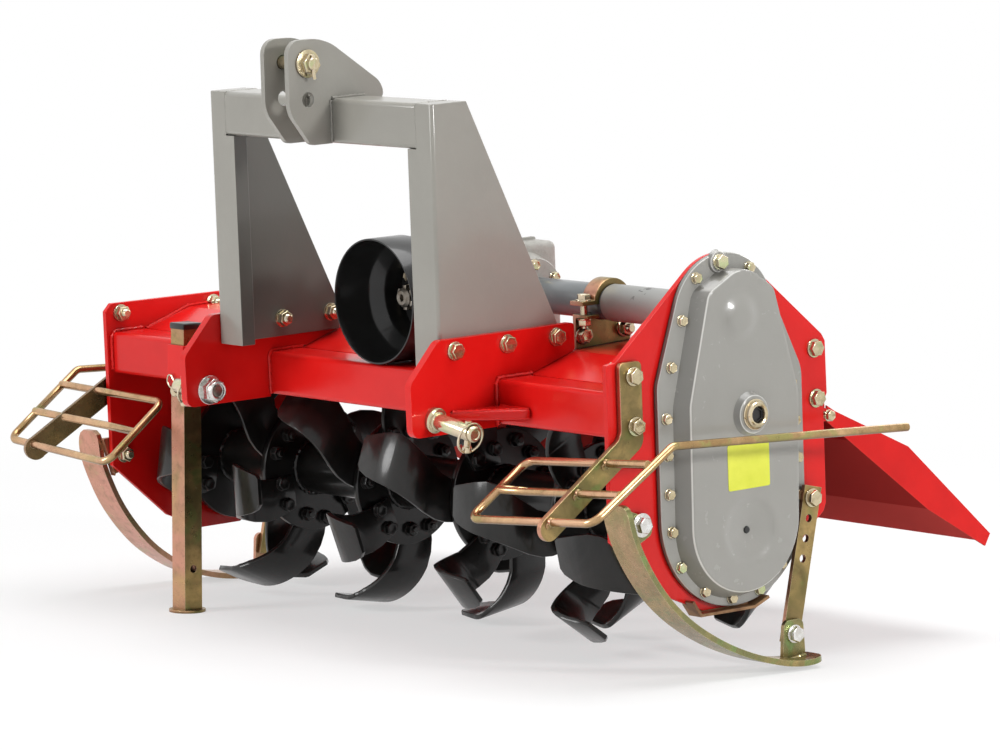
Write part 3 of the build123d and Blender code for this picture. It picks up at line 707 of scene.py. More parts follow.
def edges_at(bm, height):
    """Edges that lie level at a height."""
    return [e for e in bm.edges if all(abs(v.co.z - height) < 0.01 for v in e.verts)]


def as_pattern(bm):
    """Keeps a drawn shape as a mesh to copy from."""
    mesh = bpy.data.meshes.new("pattern")
    bm.to_mesh(mesh)
    bm.free()
    return mesh


def prism(bm, sides, radius, z0, z1):
    """A round or hexagonal bar from z0 up to z1; radius reaches its corners."""
    bmesh.ops.create_cone(
        bm, cap_ends=True, segments=sides, radius1=radius, radius2=radius, depth=z1 - z0,
        matrix=at(0, 0, (z0 + z1) / 2),
    )


def to_corners(flats):
    """Radius to a hexagon's corners from its width across the flats."""
    return flats / 2 / math.cos(math.radians(30))


def hexagon(flats, height, washer, thick, chamfer):
    """A hexagon on its washer, standing on z = 0."""
    bm = bmesh.new()
    prism(bm, 30, washer, 0, thick)
    round_edges(bm, edges_at(bm, thick), 0.6)
    prism(bm, 6, to_corners(flats), thick, thick + height)
    round_edges(bm, edges_at(bm, thick + height), chamfer, 3)
    return bm


def bolt_head(flats=19.0, height=7.5, washer=12.5, thick=2.5):
    """Hexagon head with a dished top on its washer."""
    bm = hexagon(flats, height, washer, thick, 1.3)
    top = max(bm.faces, key=lambda f: (round(f.calc_center_median().z, 2), f.calc_area()))
    bmesh.ops.inset_individual(bm, faces=[top], thickness=to_corners(flats) * 0.3, depth=-0.7)
    return as_pattern(bm)


def nut(flats=19.0, height=10.0, washer=12.5, thick=2.5, stud=6.0, proud=5.0):
    """Hexagon nut on its washer with the bolt's threaded end standing out of it."""
    bm = hexagon(flats, height, washer, thick, 1.4)
    base = thick + height
    profile = [(base - 1.0, 0), (base - 1.0, stud)]
    for i in range(int(proud / THREAD_PITCH)):
        crest = base + i * THREAD_PITCH
        profile += [(crest - 0.6, stud), (crest + 0.2, stud - 0.7)]
    profile += [(base + proud, stud - 0.3), (base + proud + 0.8, stud - 1.3), (base + proud + 0.8, 0)]
    turned(bm, profile, Z_UP, 20)
    return as_pattern(bm)


HEAD = bolt_head()
SMALL_HEAD = bolt_head(13.0, 5.5, 8.0, 1.2)
BIG_HEAD = bolt_head(20.0, 8.0, 16.0, 2.5)
TINE_HEAD = bolt_head(17.0, 7.0, 10.5, 1.0)
NUT = nut()
TINE_NUT = nut(17.0, 9.0, 10.5, 1.0, 5.0, 3.0)


def stamp(bm, pattern, place, turn=0):
    """Adds one copy of a fastener; each count of turn leaves its hexagon tightened a little further."""
    part = bmesh.new()
    part.from_mesh(pattern)
    add_part(bm, part, place @ Matrix.Rotation(turn * 0.83, 4, "Z"))


# ================= hitch plates and mast =================
def hitch_fasteners():
    """Three bolts through each hitch plate, with their nuts on the inside."""
    bm = bmesh.new()
    nut_x, row_z = HITCH_IN - 6, 87
    for i, y in enumerate((15, 104, 189)):
        stamp(bm, HEAD, at(HITCH_OUT, y, row_z) @ X_OUT, i)
        stamp(bm, HEAD, at(-HITCH_OUT, y, row_z) @ X_IN, i + 3)
        stamp(bm, NUT, at(nut_x, y, row_z) @ X_IN, i + 1)
        stamp(bm, NUT, at(-nut_x, y, row_z) @ X_OUT, i + 2)
    finish_piece(bm, "hitch_plate_bolts", bolt_zinc, "frame")


def hitch_welds():
    """Beads that join the hitch plates and their gussets to the cross beam."""
    bm = bmesh.new()
    for side in (-1, 1):
        outside = side * (HITCH_OUT + 1.5)
        weld_at(bm, outside, [(84, -18), (82.5, -12), (82.5, 36), (86, 43.5), (144, 43.5)], 3.2)
        weld(bm, [(side * (HITCH_OUT + 2), 6, 7.5), (side * 320, 82.5, 7.5)], 2.4)
        weld(bm, [(side * (HITCH_OUT + 9), 82.5, 7.5), (side * 318, 82.5, 7.5)], 2.8)
        inside = side * (HITCH_IN - 1.5)
        weld_at(bm, inside, [(84, -17), (82.5, 36), (88, 43.5), (142, 43.5)], 2.8)
    finish_piece(bm, "hitch_plate_welds", red, "frame")


def mast_welds():
    """Beads round the mast's crossbar, at its legs and at the top-link plates."""
    bm = bmesh.new()
    for side in (-1, 1):
        weld_at(bm, side * 207, [(0.9, 353), (0.9, 408), (3, 410.4), (54, 410.4)], 1.5, 3.0)
        for face in (CHEEK_IN - 0.75, CHEEK_OUT + 0.75):    # the bead's middle stands off the plate
            weld_at(bm, side * face, [(1, 411.8), (56, 411.8)], 2.2)
            weld_at(bm, side * face, [(-1, 353), (-1, 409)], 2.2)
    finish_piece(bm, "mast_welds", grey, "frame")


def top_link_pin():
    """Pin of the top link: grooved end, headed washers and a split pin."""
    bm = bmesh.new()
    axis = at(0, TOP_PIN_Y, TOP_PIN_Z) @ X_OUT
    radius, seat = 9.3, CHEEK_OUT + 0.05
    pin = [
        (-50, 0), (-50, 7.5), (-48.5, radius), (-44, radius), (-44, 6.5), (-41, 6.5), (-41, radius),
        (seat, radius), (seat, 0),
    ]
    turned(bm, pin, axis, 40)
    stamp(bm, bolt_head(25.0, 9.0, 19.0, 3.5), at(seat, TOP_PIN_Y, TOP_PIN_Z) @ X_OUT, 1)
    turned(bm, [(40, 0), (40, 8.5), (45.5, 8.5), (46.5, 7.5), (46.5, 0)], axis, 28)
    split_pin = [(44.5, 0, 12), (44.5, 0, 2), (44.5, 0, -14), (43.5, 2, -20)]
    round_bar(bm, [(x, TOP_PIN_Y + y, TOP_PIN_Z + z) for x, y, z in split_pin], 2.4)
    stamp(bm, bolt_head(24.0, 9.0, 16.0, 3.0), at(-seat, TOP_PIN_Y, TOP_PIN_Z) @ X_IN, 2)
    finish_piece(bm, "top_link_bolt", bolt_zinc, "frame", ["top_link_pin"])


# ================= lower hitch pins =================
def linch_pin(bm, x, y, z, ring):
    """Pin across the hitch pin's end, with its spring ring snapped over it."""
    steps, bow = 44, 8
    round_bar(bm, [(x, y, z + 15), (x, y, z + 11), (x, y, z - 20)], 4.6, sides=3)
    turned(bm, [(0, 0), (0, 5.5), (2, 6.5), (7, 6.5), (9, 5), (9, 0)], at(x, y, z - 27), 20)
    loop = ring_points((x, y, z - 7), ring, "x", steps, math.radians(-84), math.radians(350))
    round_bar(bm, [(x + bow * math.sin(i / steps * math.pi), p.y, p.z) for i, p in enumerate(loop)], 1.7)


def lock_nut():
    """Locking nut: hexagon, washer and a rolled collar round its plastic ring."""
    bm = bmesh.new()
    turned(bm, [(0, 0), (0, 20), (2.4, 20), (3, 19.4), (3, 0)], Z_UP, 40)
    prism(bm, 6, 17.3, 3, 16)
    round_edges(bm, edges_at(bm, 16), 2.0, 3)
    collar = [
        (14, 0), (14, 14.6), (19.5, 14.2), (21.6, 13), (22.4, 11.4), (21.8, 10.2), (18.5, 9.8), (18.5, 0),
    ]
    turned(bm, collar, Z_UP, 40)
    return as_pattern(bm)


DROOP = math.radians(8.5)     # the right pin hangs a little in its hole


def hitch_pins():
    """Both lower hitch pins, each with its locking nut inside and its linch pin outside."""
    for side, name, reach in ((-1, "left", 62), (1, "right", 84)):
        hang = at(HITCH_OUT, PIN_Y, 0) @ Matrix.Rotation(DROOP, 4, "Y") @ at(-HITCH_OUT, -PIN_Y, 0)
        hung = hang if side > 0 else Z_UP
        tip = HITCH_OUT + reach
        bm = bmesh.new()
        collar = [(-3, 0), (-3, 17), (4, 17), (5, 16), (6, 12.5), (8, 12.5), (9, 11)]
        end = [(-3, 11), (-0.8, 9.8), (0, 8.6), (0, 6.6), (-1.2, 5.6), (-1.2, 0)]
        profile = [(HITCH_OUT + x, r) for x, r in collar] + [(tip + x, r) for x, r in end]
        turned(bm, profile, hung @ at(0, PIN_Y, 0) @ outward(side), 48)
        finish_piece(bm, f"hitch_pin_{name}_shaft", bolt_zinc, "frame", [f"hitch_pin_{name}"])
        seat = at(side * HITCH_IN, PIN_Y, 0) @ outward(-side)
        bm = bmesh.new()
        stamp(bm, lock_nut(), seat, 2)
        finish_piece(bm, f"hitch_pin_{name}_nut", bright, "frame")
        bm = bmesh.new()
        turned(bm, [(18.7, 0), (18.7, 8.4), (20.2, 7.8), (20.8, 6.4), (20.8, 0)], seat, 24)
        finish_piece(bm, f"hitch_pin_{name}_thread", steel, "frame")
        bm = bmesh.new()
        linch_pin(bm, side * (tip - 16), PIN_Y, 0, 20 if side > 0 else 15)
        bmesh.ops.transform(bm, matrix=hung, verts=bm.verts)
        finish_piece(bm, f"linch_pin_{name}", bolt_zinc, "frame")


# ================= end plates =================
def both_sides(bm, pattern, x, y, z, i):
    """A fastener on the outside of the right end plate and its twin on the left."""
    stamp(bm, pattern, at(x, y, z) @ X_OUT, i)
    stamp(bm, pattern, at(2 * MIRROR_X - x, y, z) @ X_IN, i + 1)


def end_plate_fasteners():
    """Bolts through the end plates and guard arms, with their nuts on the inside."""
    bm = bmesh.new()
    rear = ((440, 62), (441, -5))
    for i, (y, z) in enumerate(rear):
        both_sides(bm, HEAD, PLATE_RIGHT, y, z, i)
    for i, (y, z) in enumerate(((115, 61), (116, -4))):
        both_sides(bm, HEAD, GUARD_ARM_X, y, z, i + 2)
    both_sides(bm, HEAD, PLATE_RIGHT + 20, 410.4, -133, 3)
    both_sides(bm, SMALL_HEAD, PLATE_RIGHT, 464, -31, 2)
    for i, (y, z) in enumerate(((101, 68), (267, 66), (96, -137), *rear)):
        stamp(bm, NUT, at(PLATE_LEFT + PLATE_T, y, z) @ X_OUT, i)
        stamp(bm, NUT, at(PLATE_RIGHT - PLATE_T, y, z) @ X_IN, i + 2)
    stamp(bm, HEAD, at(PLATE_LEFT, 267, 66) @ X_IN)
    finish_piece(bm, "end_plate_bolts", bolt_zinc, "frame")


def skid_fasteners():
    """Brighter bolts at the front and rear lugs of the skids."""
    bm = bmesh.new()
    both_sides(bm, HEAD, SKID_X + 20, 366, -309, 2)
    both_sides(bm, BIG_HEAD, SKID_X, 123, -134, 1)
    finish_piece(bm, "skid_bolts", bright, "frame")


def end_plate_welds():
    """Beads of the beam and hood inside the end plates."""
    bm = bmesh.new()
    for x in (PLATE_RIGHT - PLATE_T - 1.5, PLATE_LEFT + PLATE_T + 1.5):
        weld_at(bm, x, [(82.5, -12), (82.5, 36), (90, 43.5), (138, 43.5)], 3.0)
        weld_at(bm, x, [(145, 41), (221, 66.5), (340, 70.5), (425, 56), (461, 6)], 2.6)
    finish_piece(bm, "end_plate_welds", red, "frame")


def drive_tube_flange():
    """Ring that holds the drive tube on the inside of the right end plate."""
    bm = bmesh.new()
    back, bore = PLATE_RIGHT - PLATE_T, 25.2
    ring = [(back, bore), (464.6, bore), (464, 26), (464, 53.5), (465.5, 55), (back, 55), (back, bore)]
    turned(bm, ring, TUBE_AXIS @ X_OUT, 64)
    finish_piece(bm, "drive_tube_flange", red, "frame")


# ================= chain case =================
# circles that the rim and the pressed dome are drawn round: y, z and radius
RIM = ((276, 118, 88), (206, 34, 50), (362, 30, 48), (283, -134, 127))
DOME = ((250, 145, 20), (292, 135, 48), (330, 143, 20), (244, 8, 49), (335, 8, 51), (287, -148, 94))
FILLER_X, FILLER_Y, FILLER_Z = 496, 266, 195


def stretched_hull(bm, circles, rings, forward=0.0):
    """A solid drawn tight over circles; rings holds pairs of x and how much the circles grow there.

    forward is the share of that growth that goes to the front alone.
    """
    for x, grow in rings:
        shift = forward * max(0.0, grow)
        for y, z, r in circles:
            place = at(x, y - shift, z - shift / 3) @ X_OUT
            bmesh.ops.create_circle(bm, segments=72, radius=r + grow - shift, matrix=place)
    hull = bmesh.ops.convex_hull(bm, input=list(bm.verts))
    loose = set(verts_in(hull["geom_interior"] + hull["geom_unused"]))
    bmesh.ops.delete(bm, geom=list(loose), context="VERTS")
    wires = [edge for edge in bm.edges if not edge.link_faces]
    bmesh.ops.delete(bm, geom=wires, context="EDGES")
    bmesh.ops.dissolve_limit(bm, angle_limit=math.radians(0.8), verts=bm.verts, edges=bm.edges)


def front_cuts(bm):
    """Fine lines across the front of the case, so that its pressed swellings can rise."""
    for axis, first, last in ((1, 190, 392), (2, -244, 186)):
        for step in range(first, last, 5):
            front = [f for f in bm.faces if f.calc_center_median().x > CASE_FRONT_X - 0.1]
            edges = {e for f in front for e in f.edges}
            verts = {v for f in front for v in f.verts}
            across, spot = [0, 0, 0], [CASE_FRONT_X, 0, 0]
            across[axis], spot[axis] = 1, step
            geom = [*front, *edges, *verts]
            bmesh.ops.bisect_plane(bm, geom=geom, dist=0.01, plane_co=spot, plane_no=across)


SWELL_Y, SWELL_Z, SWELL_HEIGHT = 284, 122, 6.5        # over the upper sprocket
SWELL_FLAT, SWELL_EDGE = 12, 24                       # radius of its flat top and width of its slope
DISH_Y, DISH_Z, DISH_R, DISH_DEPTH = 294, -161, 46, 3.0
CUP_R, CUP_DEPTH = 40, 8.0                            # cup in the middle of the dish


def press_front(bm):
    """Presses a swelling and a cupped dish into the front of the case, over its two shafts."""
    for vert in bm.verts:
        if vert.co.x < CASE_FRONT_X - 0.1:
            continue
        from_swell = math.hypot(vert.co.y - SWELL_Y, vert.co.z - SWELL_Z)
        from_dish = math.hypot(vert.co.y - DISH_Y, vert.co.z - DISH_Z)
        slope = min(1, max(0, (from_swell - SWELL_FLAT) / SWELL_EDGE))
        vert.co.x += SWELL_HEIGHT * (0.5 + 0.5 * math.cos(math.pi * slope))
        vert.co.x -= DISH_DEPTH * min(1, max(0.0, (DISH_R - from_dish) / 7))
        vert.co.x -= CUP_DEPTH * max(0.0, 1 - from_dish / CUP_R)


def chain_case():
    """The pressed cover of the chain drive on its bolted rim, with the oil-level and filler bosses."""
    bm = bmesh.new()
    wall = [(490, 15), (493, 12.5), (494, 11), (507, 1.9), (509.5, 0.7), (511.3, -1), (CASE_FRONT_X, -3.2)]
    stretched_hull(bm, DOME, wall, 0.62)
    front_cuts(bm)
    press_front(bm)
    rim = bmesh.new()
    stretched_hull(rim, RIM, [(486, 0), (491, 0), (CASE_FLANGE_X, -1)])
    add_part(bm, rim)
    boss = [(508, 0), (508, 31), (512.5, 29.5), (514, 27.5), (519, 26), (520.6, 24.5), (521, 22), (521, 0)]
    turned(bm, boss, at(0, PLUG_Y, PLUG_Z) @ X_OUT, 48)
    filler = [(490, 0), (490, 16), (494, 14.5), (495.5, 13.5), (FILLER_X, 12), (FILLER_X, 0)]
    turned(bm, filler, at(0, FILLER_Y, FILLER_Z) @ X_OUT, 32)
    finish_piece(bm, "chain_case_shell", case_grey, "frame", ["chain_case_cover"], sharp=40)


def level_plug():
    """Socket plug in the boss of the chain case; a black piece in its hexagon hole stands for the shade
    inside it.
    """
    bm = bmesh.new()
    place = at(521, PLUG_Y, PLUG_Z) @ X_OUT
    profile = [
        (0, 0), (0, 20.5), (1.6, 20.5), (2.4, 19.5), (2.4, 17.8), (6.5, 17.2), (8.2, 15.8), (8.6, 13.5),
        (7.8, 11.5), (6.0, 10.6), (1.0, 10.2), (1.0, 0),
    ]
    turned(bm, profile, place, 40)
    finish_piece(bm, "level_plug", bolt_zinc, "frame", sharp=28)
    # black piece that paints the shade inside the hexagon hole
    bm = bmesh.new()
    turned(bm, [(1.2, 0), (1.2, 9.8), (5.2, 9.8), (5.2, 8.6), (2.4, 8.2), (2.4, 0)], place, 6)
    finish_piece(bm, "level_plug_socket_shade", rubber, "frame")


def hub_mark():
    """Small dark stub at the bottom of the cup."""
    bm = bmesh.new()
    turned(bm, [(501.5, 0), (501.5, 5.5), (504.4, 4.2), (505.2, 0)], at(0, DISH_Y, DISH_Z) @ X_OUT, 9)
    finish_piece(bm, "hub_mark", rubber, "frame")


def case_fasteners():
    """Small bolts all round the rim of the chain case, and the filler plug."""
    bm = bmesh.new()
    spots = (
        (321, 182), (228, 177), (201, 124), (180, 65), (169, -1), (169, -49), (170, -100), (173, -150),
        (186, -198), (226, -235), (273, -250), (322, -245), (362, -216), (385, -178), (393, -128), (397, -78),
        (394, -28), (389, 22), (374, 70), (351, 124),
    )
    for i, (y, z) in enumerate(spots):
        stamp(bm, SMALL_HEAD, at(CASE_FLANGE_X, y, z) @ X_OUT, i)
    stamp(bm, bolt_head(17.0, 8.0, 10.5, 1.5), at(FILLER_X, FILLER_Y, FILLER_Z) @ X_OUT, 2)
    finish_piece(bm, "chain_case_bolts", bolt_zinc, "frame")


def blank_plate():
    """Thin yellow plate on the chain case, left blank."""
    bm = bmesh.new()
    outline = [(256, -105, 3), (329, -105, 3), (329, -45, 3), (256, -45, 3)]
    plate(bm, outline, CASE_FRONT_X - 0.2, CASE_FRONT_X + 0.6)
    finish_piece(bm, "blank_yellow_plate", yellow, "frame")


# ================= gearbox and drive =================
def gearbox():
    """Ribbed casting with a round boss on each side and one on top."""
    bm = bmesh.new()
    block(bm, -80, 84, 220, 340, 60, 192, 10, 4)
    block(bm, -76, 94, 232, 338, 62, 142, 12, 4)
    block(bm, -74, 74, 230, 334, 62, 82, 4, 2)
    right = [(58, 0), (58, 66), (78, 61), (86, 55), (96, 51), (104, 50), (106, 48.5), (106, 0)]
    left = [(74, 0), (74, 52), (84, 50), (88, 48), (89, 44), (89, 0)]
    front = [
        (-232, 0), (-232, 66), (-212, 63), (-198, 60), (-184.5, 58), (-183, 56), (-183, 33), (-205, 33),
        (-205, 0),
    ]
    rear = [(330, 0), (330, 54), (342, 52), (344, 50), (344, 0)]
    turned(bm, right, TUBE_AXIS @ X_OUT, 56)
    turned(bm, left, TUBE_AXIS @ X_IN, 56)
    turned(bm, front, SHAFT_AXIS @ Y_FRONT, 56)
    turned(bm, rear, SHAFT_AXIS @ Y_REAR, 48)
    for x in (-46, 0, 46):
        plate(bm, [(226, 186, 0), (330, 186, 0), (330, 196, 3), (226, 196, 3)], x - 3, x + 3)
    turned(bm, [(188, 0), (188, 15), (196, 14), (198, 12), (198, 0)], at(-24, 296, 0), 24)
    finish_piece(bm, "gearbox_casting", casting, "frame", ["gearbox_housing"], sharp=38)


def gearbox_fasteners():
    """Six bolts round each of three covers, and the oil plugs."""
    bm = bmesh.new()
    for i in range(6):
        a = math.radians(60 * i + 30)
        y, z = math.cos(a), math.sin(a)
        stamp(bm, SMALL_HEAD, TUBE_AXIS @ at(-89, 38 * y, 38 * z) @ X_IN, i)
        stamp(bm, SMALL_HEAD, SHAFT_AXIS @ at(41 * y, 342, 41 * z) @ Y_REAR, i)
        stamp(bm, SMALL_HEAD, TUBE_AXIS @ at(106, 40 * y, 40 * z) @ X_OUT, i)
    stamp(bm, bolt_head(19.0, 8.0, 11.0, 2.0), at(-24, 296, 198))
    stamp(bm, bolt_head(14.0, 5.0, 9.0, 1.0), at(80, 262, 166) @ X_OUT)
    finish_piece(bm, "gearbox_bolts", bolt_zinc, "frame")


def pto():
    """Six-splined stub with a groove for the coupling's latch."""
    bm = bmesh.new()
    stub = [
        (136, 0), (136, 3.5), (131, 4.5), (130, 5.5), (130, 9.5), (134, 13.2), (206, 14.2), (206, 20.4),
        (316, 20.4), (316, 0),
    ]
    turned(bm, stub, SHAFT_AXIS @ Y_REAR, 48)
    for i in range(6):
        spin = SHAFT_AXIS @ Matrix.Rotation(math.radians(60 * i), 4, "Y")
        for y0, y1 in ((136, 150), (156, 206)):
            block(bm, -3.6, 3.6, y0, y1, 11.5, 17.0, 0.7, 2, spin)
    finish_piece(bm, "pto_stub", steel, "pto_input", ["pto_shaft"])


def guard_cone():
    """Round shield about the stub, drawn in at its back."""
    bm = bmesh.new()
    profile = [
        (178, 58), (152, 60), (149, 62), (136, 74), (132, 77), (90, 81), (84, 82.4), (82, 83.2), (82, 85.2),
        (83, 85.5), (138, 85.4), (146, 83.5), (157, 77), (178, 66),
    ]
    turned(bm, profile + [profile[0]], SHAFT_AXIS @ Y_REAR, 96)
    finish_piece(bm, "pto_shield", plastic, "frame", ["pto_guard"])


def guard_fasteners():
    """Bolts that hold the round shield on the gearbox."""
    bm = bmesh.new()
    for i, a in enumerate((100, 150, 200, 250, 20, 320)):
        u, v = math.cos(math.radians(a)), math.sin(math.radians(a))
        stamp(bm, SMALL_HEAD, SHAFT_AXIS @ at(46 * u, 178, 46 * v) @ Y_FRONT, i)
    finish_piece(bm, "pto_shield_bolts", bolt_zinc, "frame")


def clamp_fasteners():
    """Two upright bolts that close the clamp round the drive tube, and those of its bracket."""
    bm = bmesh.new()
    clamp_x, low = 257, TUBE_Z - 18
    for i, y in enumerate((DRIVE_Y - 42, DRIVE_Y + 42)):
        stamp(bm, bolt_head(16.0, 7.0, 11.0, 2.0), at(clamp_x, y, TUBE_Z + 6), i)
        round_bar(bm, [(clamp_x, y, TUBE_Z + 2), (clamp_x, y, low)], 5.0, sides=3)
        stamp(bm, nut(16.0, 8.0, 10.0, 2.0, 5.0, 3.0), at(clamp_x, y, low) @ Z_DOWN, i)
    stamp(bm, HEAD, at(246, 242, 83) @ X_OUT, 1)
    stamp(bm, NUT, at(246, 314, 86) @ X_OUT, 2)
    finish_piece(bm, "clamp_bolts", bolt_zinc, "frame")


# ================= rotor =================
FLANGES = (
    # x, turn, carries right-hand tines, carries left-hand tines
    (-598, 40, True, False), (-419, 27, True, True), (-205, 11, True, True), (8, -8, True, True),
    (221, -24, True, True), (434, -40, False, True),
)
# outline of a tine before it is bent, in y and distance from the rotor's axis: out to its tip and back again
LEADING = (
    (-50, 46), (-58, 62), (-63, 82), (-64, 100), (-60, 122), (-53, 143), (-46, 164), (-40, 186), (-35, 210),
    (-30, 230), (-24, 244), (-16, 251),
)
TRAILING = (
    (22, 252), (26, 248), (30, 228), (34, 208), (36, 188), (32, 172), (20, 150), (9, 130), (0, 112), (-4, 90),
    (-6, 70), (-4, 46),
)
BEND_FROM, BEND_R, BENDS = 118.0, 62.0, 14
TINE_X, TINE_T = 5.0, 7.0


def tine_blade():
    """One tine at twelve o'clock, cut flat from plate and then bent to the right by a quarter turn."""
    bm = bmesh.new()
    bm.faces.new([bm.verts.new((TINE_X, y, z)) for y, z in LEADING + TRAILING])
    step = BEND_R * math.pi / 2 / BENDS
    for i in range(BENDS + 1):
        bmesh.ops.bisect_plane(bm, geom=bm.faces[:] + bm.edges[:] + bm.verts[:], dist=0.01,
                               plane_co=(0, 0, BEND_FROM + step * i), plane_no=(0, 0, 1))
    turn = Matrix.Rotation(math.radians(90 / BENDS), 3, "Y")
    for i in reversed(range(BENDS)):
        z = BEND_FROM + step * (i + 0.5)
        verts = [v for v in bm.verts if v.co.z > z or v.co.x > TINE_X + 0.01]
        bmesh.ops.rotate(bm, verts=verts, cent=(TINE_X, 0, z), matrix=turn)
    bmesh.ops.recalc_face_normals(bm, faces=bm.faces)
    bmesh.ops.solidify(bm, geom=bm.faces[:], thickness=TINE_T)
    round_edges(bm, edges_sharper_than(bm, 50), 1.2)
    return as_pattern(bm)


def tines():
    """Six places on each flange: right-hand tines on the odd ones, left-hand on the even."""
    right = tine_blade()
    mirrored = bmesh.new()
    mirrored.from_mesh(right)
    bmesh.ops.transform(mirrored, matrix=Matrix.Scale(-1, 4, (1, 0, 0)), verts=mirrored.verts)
    bmesh.ops.reverse_faces(mirrored, faces=mirrored.faces)
    left = as_pattern(mirrored)
    bolts = bmesh.new()
    for n, (x, turn, has_right, has_left) in enumerate(FLANGES, 1):
        bm = bmesh.new()
        for k in range(6):
            if not (has_right if k % 2 else has_left):
                continue
            place = at(x, ROTOR_Y, ROTOR_Z) @ Matrix.Rotation(math.radians(180 - turn - 60 * k), 4, "X")
            stamp(bm, right if k % 2 else left, place)
            side = 1 if k % 2 else -1
            for i, (y, z) in enumerate(((-45, 62), (-13, 69))):
                stamp(bolts, TINE_HEAD, place @ at(side * 12, y, z) @ outward(side), i + k)
                stamp(bolts, TINE_NUT, place @ at(side * -5, y, z) @ outward(-side), i + k + 1)
        finish_piece(bm, f"tine_set_{n}", black, "rotor", [f"tines_{n}"])
    finish_piece(bolts, "tine_bolts", black, "rotor")


def rotor_tube():
    """Tube of the rotor with its journals stepped down at both ends."""
    bm = bmesh.new()
    tube, journal = 38, 19.4
    profile = [
        (-640, 0), (-640, 18), (-638.5, journal), (-609, journal), (-609, 30), (-608, 36), (-606, tube),
        (466, tube), (468, 36), (468, journal), (496.5, journal), (498, 18), (498, 0),
    ]
    turned(bm, profile, at(0, ROTOR_Y, ROTOR_Z) @ X_OUT, 64)
    finish_piece(bm, "rotor_tube", black, "rotor", ["rotor_shaft"])


def rotor_welds():
    """Ring of weld on both sides of each flange."""
    bm = bmesh.new()
    for x, *_ in FLANGES:
        for side in (-1, 1):
            weld_ring(bm, (x + side * 6.5, ROTOR_Y, ROTOR_Z), 38.5, "x", 4.0)
    finish_piece(bm, "rotor_welds", black, "rotor")


# ================= guards, skids and stand =================
def guard_welds():
    """Lumps of weld where the guard rods cross their flat arm."""
    bm = bmesh.new()
    for y, z in ((-30.5, -110.3), (16.5, -79.2), (66, -46.3)):
        turned(bm, [(-8, 0), (-7, 6.0), (-3, 7.8), (3, 8.0), (8, 6.2), (9, 0)], at(488, y, z) @ X_OUT, 12)
        turned(bm, [(-8, 0), (-7, 4), (-2, 6.0), (5, 4.6), (8, 0)], at(488, y - 5, z - 4) @ X_OUT, 10)
    finish_piece(bm, "guard_welds_right", zinc, "frame")


def guard_arm():
    """Flat arm that carries the right guard's rods, round at its lower end."""
    bm = bmesh.new()
    outline = [
        (92.5, 80, 7), (130, 80, 7), (130, -30, 10), (-36.8, -140.9, 15.5), (-54.6, -114.3, 15.5),
        (92.5, -16, 10),
    ]
    plate(bm, outline, PLATE_RIGHT, GUARD_ARM_X)
    finish_piece(bm, "guard_arm_plate", zinc, "frame", ["guard_arm_right"], corner=0.001)


def curve_at(t, before, a, b, after):
    """A place between a and b, at a share t, on a soft curve that also passes before and after."""
    bend = 2 * before - 5 * a + 4 * b - after
    swing = 3 * a - before - 3 * b + after
    return 0.5 * (2 * a + (b - before) * t + bend * t ** 2 + swing * t ** 3)


def eased(points, steps):
    """More places along a soft curve through the points."""
    ends = [points[0], *points, points[-1]]
    places = []
    for four in zip(ends, ends[1:], ends[2:], ends[3:]):
        places += [[curve_at(i / steps, *along_axis) for along_axis in zip(*four)] for i in range(steps)]
    return places + [list(points[-1])]


# run of each skid's bar from its front end: y and z
SKIDS = {
    "right": (
        (58, -98), (61, -124), (74, -160), (96, -199), (124, -235), (163, -270), (212, -301), (262, -324),
        (312, -340), (345, -346.5), (370, -348), (396, -346),
    ),
    "left": (
        (62, -102), (64, -140), (79, -183), (99, -222), (128, -261), (162, -294), (212, -326), (262, -343),
        (308, -350.5), (350, -352), (390, -348),
    ),
}
SKID_WIDTH, SKID_ROUND = 50, 22


def skid_bar(points):
    """A flat bar laid along the points, narrowed to a round end at both of them."""
    bm = bmesh.new()
    path = [bm.verts.new((SKID_X, y, z)) for y, z in eased(points, 5)]
    edges = [bm.edges.new(pair) for pair in zip(path, path[1:])]
    grown = bmesh.ops.extrude_edge_only(bm, edges=edges)["geom"]
    bmesh.ops.translate(bm, verts=verts_in(grown), vec=(SKID_WIDTH, 0, 0))
    middle = SKID_X + SKID_WIDTH / 2
    for vert in bm.verts:
        far = min(math.hypot(vert.co.y - y, vert.co.z - z) for y, z in (points[0], points[-1]))
        full = math.sqrt(1 - max(0.0, 1 - far / SKID_ROUND) ** 2)
        vert.co.x = middle + (vert.co.x - middle) * (0.45 + 0.55 * full)
    bmesh.ops.recalc_face_normals(bm, faces=bm.faces)
    lowest = bm.faces[:][len(bm.faces) // 2]
    if lowest.normal.z < 0:
        bmesh.ops.reverse_faces(bm, faces=bm.faces)
    bmesh.ops.solidify(bm, geom=bm.faces[:], thickness=-SKID_T)
    return bm


def skids():
    """Flat bars bent under the machine, with the lugs that carry them."""
    lug_x = SKID_X + 14
    front_lug = [(66, -112, 4), (100, -112, 4), (141, -128, 6), (141, -148, 6), (120, -158, 6), (84, -166, 4)]
    rear_lug = [(345, -346, 1), (386, -346, 1), (383, -290, 9), (349, -290, 9)]
    corner = [(74, -124, 1), (92, -118, 3), (92, -160, 3), (88, -170, 1)]
    for name, points in SKIDS.items():
        bm = bmesh.new()
        add_part(bm, skid_bar(points))
        plate(bm, front_lug, PLATE_RIGHT, SKID_X)
        plate(bm, rear_lug, lug_x, lug_x + 6)
        plate(bm, corner, SKID_X - 1, SKID_X + 9)
        weld_at(bm, lug_x + 7.5, [(348, -342), (384, -339)], 3.2)
        if name == "left":
            bmesh.ops.transform(bm, matrix=MIRROR, verts=bm.verts)
        finish = rose_zinc if name == "left" else green_zinc
        finish_piece(bm, f"skid_bar_{name}", finish, "frame", [f"skid_{name}"], corner=0.001)


